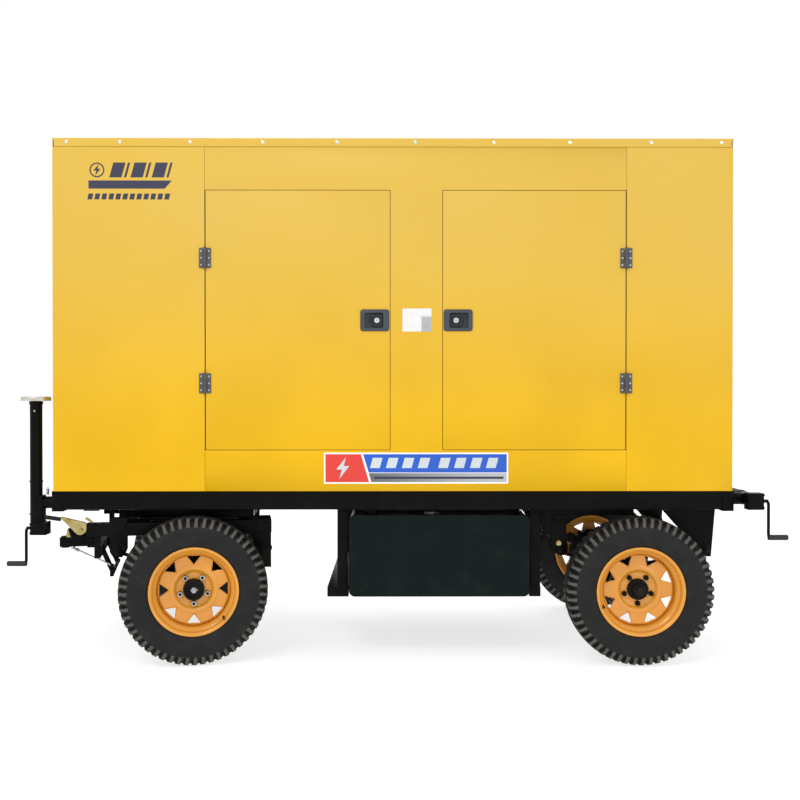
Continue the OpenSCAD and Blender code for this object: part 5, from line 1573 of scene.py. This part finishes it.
class GENERATOR_OT_machine(bpy.types.Operator):
    """Make the machine's main bodies, and the engine's covers, pipes, filters and belt"""

    bl_idname = "generator.machine"
    bl_label = "Engine and main bodies"

    def execute(self, context):
        softened("engine_block", "engine", 0.008)
        softened("alternator", "alternator", 0.006)
        softened("radiator", "radiator", 0.003)
        softened("muffler", "exhaust", 0.004)
        softened("control_box", "control", 0.003)
        softened("cooling_fan", "nylon", 0.0012)
        softened("stop_button", "stop", 0.003)

        covers, heads, pipes = [], [], []
        for index in range(6):
            x = 0.208 + index * 0.121
            cover = rolled_outline([(x - 0.05, -0.115), (x + 0.05, -0.115), (x + 0.05, 0.115),
                (x - 0.05, 0.115)], 0.018)
            covers.append(prism(cover, 1.68, 1.705, "z"))
            covers += [bolt((x, y, 1.705), (0, 0, 1), *M10_HIGH) for y in (-0.085, 0.085)]
            pipes.append(tube(route([(x, -0.1, 1.64), (x, -0.19, 1.655), (x, -0.235, 1.61),
                (x, -0.235, 1.47)], 0.04), 0.004, 8, normal=(1, 0, 0)))
            pipes.append(rod((x, -0.262, 1.44), (x, -0.228, 1.47), 0.013, 12, 0.002))
            port = rolled_outline([(x - 0.034, 1.512), (x + 0.034, 1.512), (x + 0.034, 1.588),
                (x - 0.034, 1.588)], 0.012)
            heads.append(prism(port, 0.285, 0.3, "y"))
            heads += [bolt((x + s * 0.026, 0.3, 1.55), (0, 1, 0), *M9_HIGH) for s in (-1, 1)]
        for z in (1.13, 1.21, 1.45):
            heads.append(slab(0.15, 0.87, z, z + 0.018, 0.006, -0.228, -0.24))
            for index in range(8):
                heads.append(bolt((0.19 + index * 0.092, -0.24, z + 0.009), (0, -1, 0), *M9))
        piece("rocker_covers", covers, "alternator", "chassis", bevel=0.0025)
        piece("engine_castings", heads, "engine", "chassis", bevel=0.0012)
        piece("injection_pipes", pipes, "steel", "chassis")
        intake = [tube(route([(0.43, 0.25, 1.7), (0.36, 0.25, 1.7), (0.25, 0.25, 1.74), (0.21, 0.2, 1.84),
            (0.21, -0.06, 1.9), (0.26, -0.2, 1.9)], 0.09, 8), 0.046, 20, normal=(0.3, 0.2, 0.9)),
            tube(route([(1.000, 0, 1.48), (1.03, 0.001, 1.56), (1.06, 0, 1.7), (1.178, 0, 1.76)], 0.06, 8),
            0.03, 18, normal=(0, 1, 0)), tube(route([(0.93, 0.15, 1.18), (1.000, 0.21, 1.16),
            (1.08, 0.26, 1.12), (1.178, 0.3, 1.1)], 0.06, 8), 0.03, 18)]
        piece("engine_hoses", intake, "hose", "chassis")
        filters = [finned_drum((0.26, -0.2, 1.9), (0.7, -0.2, 1.9), 0.12, 22, 0.004),
            rod((0.245, -0.2, 1.9), (0.715, -0.2, 1.9), 0.09, 40, 0.01),
            rod((0.33, -0.3, 1.06), (0.33, -0.3, 1.24), 0.052, 36, 0.008),
            rod((0.45, -0.3, 1.06), (0.45, -0.3, 1.24), 0.052, 36, 0.008),
            rod((0.39, -0.232, 1.26), (0.39, -0.34, 1.26), 0.03, 24, 0.004),
            rod((0.33, -0.3, 1.238), (0.33, -0.3, 1.262), 0.036, 24),
            rod((0.45, -0.3, 1.238), (0.45, -0.3, 1.262), 0.036, 24),
            prism([(0.29, 1.258), (0.49, 1.258), (0.49, 1.285), (0.29, 1.285)], -0.23, -0.34, "y")]
        piece("air_cleaner_and_filters", filters, "radiator", "chassis", bevel=0.001)
        turbo = [hoop([(0.02, -0.03), (0.055, -0.034), (0.082, -0.018), (0.088, 0.0), (0.082, 0.018),
            (0.055, 0.034), (0.02, 0.03)], 40, (0.4, 0.25, 1.7), (1, 0, 0)),
            tube(np.stack([np.full(30, 0.4), 0.25 + 0.098 * np.cos(np.linspace(0.4, 5.6, 30)),
            1.7 + 0.098 * np.sin(np.linspace(0.4, 5.6, 30))], -1), np.linspace(0.018, 0.036, 30), 16,
            normal=(1, 0, 0))]
        piece("turbocharger", turbo, "exhaust", "chassis", sharp=50)
        belt_path = []
        for y, z, r, start, stop in ((0, 1.16, 0.104, 2.7, 6.72), (0, 1.48, 0.066, 0.44, 2.7)):
            t = np.linspace(start, stop, 24)
            belt_path.append(np.stack([np.full(24, 0.965), y + r * np.cos(t), z + r * np.sin(t)], -1))
        pulleys = [revolve([(0, 0), (0.1, 0), (0.1, 0.008), (0.088, 0.014), (0.088, 0.022), (0.1, 0.028),
            (0.1, 0.036), (0, 0.036)], 48, (0.946, 0, 1.16), (1, 0, 0)),
            revolve([(0, 0), (0.062, 0), (0.062, 0.008), (0.052, 0.014), (0.052, 0.022), (0.062, 0.028),
            (0.062, 0.036), (0, 0.036)], 48, (0.946, 0, 1.48), (1, 0, 0))]
        piece("belt_pulleys", pulleys, "steel", "chassis", bevel=0.0008)
        piece("fan_belt", [tube(np.concatenate(belt_path), 0.0085, 8, normal=(1, 0, 0), loop=True)], "hose",
            "chassis")

        return {"FINISHED"}


class GENERATOR_OT_cooling(bpy.types.Operator):
    """Make the alternator's ribs, the radiator's tubes and guard, and the muffler's fittings"""

    bl_idname = "generator.cooling"
    bl_label = "Alternator, radiator and muffler"

    def execute(self, context):
        ribs = []
        for index in range(16):
            t = index * 2 * math.pi / 16
            y, z = math.cos(t), math.sin(t)
            ribs.append(placed(box((-0.62, -0.008, 0.262), (-0.06, 0.008, 0.278)), (0, 0, 1.27), (1, 0, 0),
                (0, z, -y), (0, y, z)))
        ribs = [rib for index, rib in enumerate(ribs) if index not in (3, 4, 5)]
        ribs.append(hoop([(0.262, -0.724), (0.276, -0.72), (0.276, -0.696), (0.262, -0.692)], 72,
            (0, 0, 1.27), (1, 0, 0)))
        ribs.append(hoop([(0.262, -0.02), (0.298, -0.016), (0.298, 0.016), (0.262, 0.02)], 72, (0, 0, 1.27),
            (1, 0, 0)))
        for index in range(12):
            t = (index + 0.5) * math.pi / 6
            ribs.append(bolt((-0.0165, 0.286 * math.cos(t), 1.27 + 0.286 * math.sin(t)), (-1, 0, 0), *M12))
        for y in (-0.192, 0.192):
            s = np.sign(y)
            ribs.append(slab(-0.59, -0.23, 1.565, 1.73, 0.01, y - s * 0.002, y + s * 0.004))
            ribs += [bolt((x, y + s * 0.004, z), (0, s, 0), *M6_HIGH) for x in (-0.575,
                -0.245) for z in (1.58, 1.715)]
        piece("alternator_ribs", ribs, "alternator", "chassis", bevel=0.0012)

        core = []
        tubes_z = np.arange(0.985, 2.08, 0.022)
        for z in tubes_z:
            core.append(box((1.1655, -0.44, z), (1.1705, 0.44, z + 0.003)))
            core.append(box((1.2495, -0.44, z), (1.2545, 0.44, z + 0.003)))
        piece("radiator_tubes", core, "steel", "chassis")
        tanks = [slab(1.16, 1.262, 2.085, 2.16, 0.02, -0.472, 0.472),
            slab(1.16, 1.262, 0.932, 0.975, 0.012, -0.472, 0.472), revolve([(0, 0), (0.03, 0),
            (0.03, 0.018), (0.04, 0.02), (0.04, 0.03), (0, 0.034)], 32, (1.211, -0.3, 2.158))]
        for index in range(14):
            radius = 0.06 + index * 0.0235
            ring = np.stack([np.full(72, 1.07), radius * np.cos(np.linspace(0, 2 * np.pi, 73)[:-1]),
                1.48 + radius * np.sin(np.linspace(0, 2 * np.pi, 73)[:-1])], -1)
            tanks.append(tube(ring, 0.0016, 5, normal=(1, 0, 0), loop=True))
        for index in range(8):
            t = index * math.pi / 4 + 0.39
            tanks.append(rod((1.069, 0.05 * math.cos(t), 1.48 + 0.05 * math.sin(t)),
                (1.069, 0.39 * math.cos(t), 1.48 + 0.39 * math.sin(t)), 0.0028, 8))
        piece("radiator_tanks_and_guard", tanks, "radiator", "chassis", bevel=0.001)

        shell = [finned_drum((-0.3, 0.18, 2.26), (0.62, 0.18, 2.26), 0.1302, 4, 0.003)]
        for x in (-0.2, 0.5):
            shell.append(hoop([(0.13, -0.016), (0.1345, -0.015), (0.1345, 0.015), (0.13, 0.016)], 60,
                (x, 0.18, 2.26), (1, 0, 0)))
            shell.append(rod((x, 0.315, 2.275), (x, 0.345, 2.275), 0.007, 10))
        shell.append(hoop([(0.045, 0), (0.068, 0.001), (0.068, 0.009), (0.045, 0.01)], 36,
            (0.64, 0.18, 2.26), (1, 0, 0)))
        piece("muffler_bands", shell, "exhaust", "chassis", bevel=0.0008)
        bellows = [tube(np.stack([np.full(60, 0.52), np.full(60, 0.25), np.linspace(1.8, 1.96, 60)],
            -1) + np.stack([1e-7 * np.arange(60) ** 2, np.zeros(60), np.zeros(60)], -1),
            0.05 + 0.005 * np.cos(np.arange(60) * 2 * np.pi / 6), 24, normal=(0, 1, 0))]
        piece("exhaust_bellows", bellows, "exhaust", "chassis", sharp=70)

        return {"FINISHED"}


class GENERATOR_OT_controls(bpy.types.Operator):
    """Make the control panel with its switches and lamps, the batteries and the wiring"""

    bl_idname = "generator.controls"
    bl_label = "Controls, batteries and wiring"

    def execute(self, context):
        front = CONTROL_FACE
        panel, dark, lens_g, lens_a, dials = [], [], [], [], []
        panel.append(slab(-0.865, -0.445, 1.72, 2.045, 0.008, front, front - 0.003))
        panel.append(slab(-0.865, -0.545, 1.575, 1.705, 0.008, front, front - 0.003))
        panel += [bolt((x, front - 0.003, z), (0, -1, 0), *M5) for x in (-0.855, -0.455) for z in (1.73,
            2.035)]
        for index in range(3):
            x = -0.8 + index * 0.11
            dark.append(hoop([(0.034, 0), (0.04, 0), (0.04, 0.01), (0.036, 0.012), (0.034, 0.01)], 40,
                (x, front - 0.003, 1.985), (0, -1, 0)))
            dials.append(revolve([(0, 0), (0.0345, 0), (0.0345, 0.006), (0, 0.006)], 32,
                (x, front - 0.003, 1.985), (0, -1, 0)))
            dark.append(prism([(x - 0.001, 1.975), (x + 0.001, 1.975), (x + 0.016, 2.005),
                (x + 0.014, 2.006)], front - 0.0095, front - 0.0102, "y"))
        dark.append(slab(-0.845, -0.675, 1.785, 1.905, 0.01, front - 0.003, front - 0.018))
        lens_g.append(slab(-0.83, -0.69, 1.825, 1.895, 0.003, front - 0.0182, front - 0.0188))
        for index in range(4):
            dark.append(rod((-0.822 + index * 0.041, front - 0.018, 1.803),
                (-0.822 + index * 0.041, front - 0.022, 1.803), 0.008, 16, 0.001))
            lamp = rod((-0.64 + index * 0.05, front - 0.003, 1.88),
                (-0.64 + index * 0.05, front - 0.015, 1.88), 0.011, 20, 0.003)
            (lens_g if index % 2 else lens_a).append(lamp)
            dark.append(rod((-0.64 + index * 0.05, front - 0.003, 1.8),
                (-0.64 + index * 0.05, front - 0.016, 1.8), 0.013, 20, 0.002))
            dark.append(slab(-0.848 + index * 0.074, -0.786 + index * 0.074, 1.59, 1.69, 0.004,
                front - 0.003, front - 0.03))
            dark.append(box((-0.826 + index * 0.074, front - 0.03, 1.63),
                (-0.808 + index * 0.074, front - 0.041, 1.655)))
        piece("control_panel", panel, "steel", "chassis", bevel=0.0008)
        piece("control_switches", dark, "paddle", "chassis", bevel=0.001)
        piece("control_lamps_green", lens_g, "lens_green", "chassis", bevel=0.0006)
        piece("control_lamps_amber", lens_a, "lens_amber", "chassis", bevel=0.0006)
        piece("control_dials", dials, "dial", "chassis", bevel=0.0006)
        # the collar takes the glowing amber lens finish, so it gives off painted light though it is no lamp
        collar = [hoop([(0.021, 0), (0.0265, 0.001), (0.0265, 0.01), (0.0235, 0.013), (0.021, 0.012)], 36,
            (-0.5, front - 0.006, 1.64), (0, -1, 0))]
        piece("stop_button_collar", collar, "lens_amber", "chassis", bevel=0.0005)

        battery = []
        for x in (-0.76, -0.5):
            battery.append(slab(x - 0.11, x + 0.11, -0.56, -0.39, 0.008, 0.862, 1.055, "z"))
            battery.append(slab(x - 0.114, x + 0.114, -0.564, -0.386, 0.009, 1.055, 1.075, "z"))
            battery += [rod((x + s * 0.075, -0.535, 1.074), (x + s * 0.075, -0.535, 1.092), 0.009, 16,
                0.001) for s in (-1, 1)]
        battery.append(prism([(-0.89, -0.575), (-0.37, -0.575), (-0.37, -0.375), (-0.89, -0.375)], 0.8515,
            0.8605, "z"))
        piece("batteries", battery, "paddle", "chassis", bevel=0.0015)
        looms = [tube(route([(-0.575, -0.535, 1.088), (-0.575, -0.535, 1.15), (-0.3, -0.5, 1.16),
            (-0.06, -0.38, 1.12), (0.18, -0.33, 1.12), (0.24, -0.3, 1.19)], 0.05), 0.008, 10),
            tube(route([(-0.64, -0.43, 1.562), (-0.64, -0.43, 1.48), (-0.56, -0.33, 1.42),
            (-0.45, -0.2, 1.66), (-0.44, -0.186, 1.68)], 0.05), 0.016, 12),
            tube(route([(-0.48, -0.43, 1.562), (-0.48, -0.43, 1.5), (-0.25, -0.36, 1.47),
            (0.000, -0.33, 1.5), (0.15, -0.228, 1.52)], 0.05), 0.01, 10),
            tube(route([(-0.685, -0.535, 1.088), (-0.685, -0.535, 1.12), (-0.62, -0.535, 1.135),
            (-0.6, -0.535, 1.12), (-0.59, -0.535, 1.088)], 0.02), 0.007, 10, normal=(0, 1, 0))]
        piece("wiring_looms", looms, "hose", "chassis")
        return {"FINISHED"}


# ---------------------------------------------------------------- stage


CAMERA_PLACE = (0.0072, -5.6349, 1.3392)
CAMERA_LENS = 45.748
CAMERA_DOWN, CAMERA_RIGHT = 0.00871, 0.00515  # how far it looks down and to the right, in radians


class GENERATOR_OT_stage(bpy.types.Operator):
    """Make the pale floor, the soft light and the camera at the eye height of the view"""

    bl_idname = "generator.stage"
    bl_label = "Floor, light and camera"

    def execute(self, context):
        settings = context.scene.generator_stage
        scene = context.scene
        finish = Finish("floor_pale", Roughness=0.9, Specular_IOR_Level=0.0, Emission_Strength=0.72)
        tone = tuple(settings.floor)
        floor_tone = finish.place.noise(3.0, 2.0).mix(tuple(c * 0.985 for c in tone), tone)
        finish.put(Base_Color=floor_tone, Emission_Color=(1.0, 1.0, 1.0))
        reach = np.linspace(-60, 60, 9)
        grid = np.stack([*np.meshgrid(reach, reach, indexing="ij"), np.zeros((9, 9))], -1)
        points, faces = lattice(grid)
        mesh = bpy.data.meshes.new("floor")
        mesh.from_pydata(points.tolist(), [], faces)
        mesh.materials.append(finish.material)
        floor = bpy.data.objects.new("floor", mesh)
        scene.collection.objects.link(floor)

        world = bpy.data.worlds.new("studio")
        world.use_nodes = True
        background = world.node_tree.nodes["Background"]
        background.inputs["Color"].default_value = (1, 1, 1, 1)
        background.inputs["Strength"].default_value = settings.brightness
        scene.world = world
        for name, place, size, power in (("key", (-3.5, -6.5, 7.0), (4.0, 1.2), 200),
                ("fill", (5.0, -7.0, 3.0), (4.0, 3.0), 55), ("back", (0.0, 7.0, 6.0), (6.0, 3.0), 150)):
            light = bpy.data.lights.new(name, "AREA")
            light.shape = "RECTANGLE"
            light.size, light.size_y = size
            light.energy = power * settings.brightness
            lamp = bpy.data.objects.new(name, light)
            lamp.location = place
            lamp.rotation_euler = (Vector((0, 0, 1.2)) - Vector(place)).to_track_quat("-Z", "Y").to_euler()
            scene.collection.objects.link(lamp)

        camera = bpy.data.cameras.new("camera")
        camera.sensor_width = 36
        camera.lens = CAMERA_LENS
        view = bpy.data.objects.new("camera", camera)
        view.location = CAMERA_PLACE
        view.rotation_euler = (math.pi / 2 - CAMERA_DOWN, 0, -CAMERA_RIGHT)
        scene.collection.objects.link(view)
        scene.camera = view
        scene.view_settings.view_transform = "Standard"
        return {"FINISHED"}


# ---------------------------------------------------------------- panel and registration


OPERATORS = (GENERATOR_OT_canopy, GENERATOR_OT_canopy_fittings, GENERATOR_OT_canopy_prints,
    GENERATOR_OT_hinges_latches, GENERATOR_OT_chassis, GENERATOR_OT_tank, GENERATOR_OT_running_gear,
    GENERATOR_OT_wheels, GENERATOR_OT_bogie, GENERATOR_OT_jacks, GENERATOR_OT_machine, GENERATOR_OT_cooling,
    GENERATOR_OT_controls, GENERATOR_OT_stage)


class GENERATOR_PT_panel(bpy.types.Panel):
    """Sizes and colours of the generator, and a button for each group of its pieces"""

    bl_idname = "GENERATOR_PT_panel"
    bl_label = "Diesel Generator"
    bl_space_type = "VIEW_3D"
    bl_region_type = "UI"
    bl_category = "Generator"

    def draw(self, context):
        scene = context.scene
        for group in (scene.generator_canopy, scene.generator_chassis, scene.generator_wheels,
                scene.generator_stage):
            box_layout = self.layout.box()
            for name in group.__annotations__:
                box_layout.prop(group, name)
        for operator in OPERATORS:
            self.layout.operator(operator.bl_idname)


SETTINGS = {"generator_canopy": GeneratorCanopySettings, "generator_chassis": GeneratorChassisSettings,
    "generator_wheels": GeneratorWheelSettings, "generator_stage": GeneratorStageSettings}


def register():
    for group in SETTINGS.values():
        bpy.utils.register_class(group)
    for operator in (*OPERATORS, GENERATOR_PT_panel):
        bpy.utils.register_class(operator)
    for name, group in SETTINGS.items():
        setattr(bpy.types.Scene, name, bpy.props.PointerProperty(type=group))


def unregister():
    for name in SETTINGS:
        delattr(bpy.types.Scene, name)
    for operator in (*OPERATORS, GENERATOR_PT_panel):
        bpy.utils.unregister_class(operator)
    for group in SETTINGS.values():
        bpy.utils.unregister_class(group)


def main():
    register()
    make_finishes(bpy.context.scene)
    for operator in OPERATORS:
        group, name = operator.bl_idname.split(".")
        getattr(getattr(bpy.ops, group), name)()


if __name__ == "__main__":
    main()
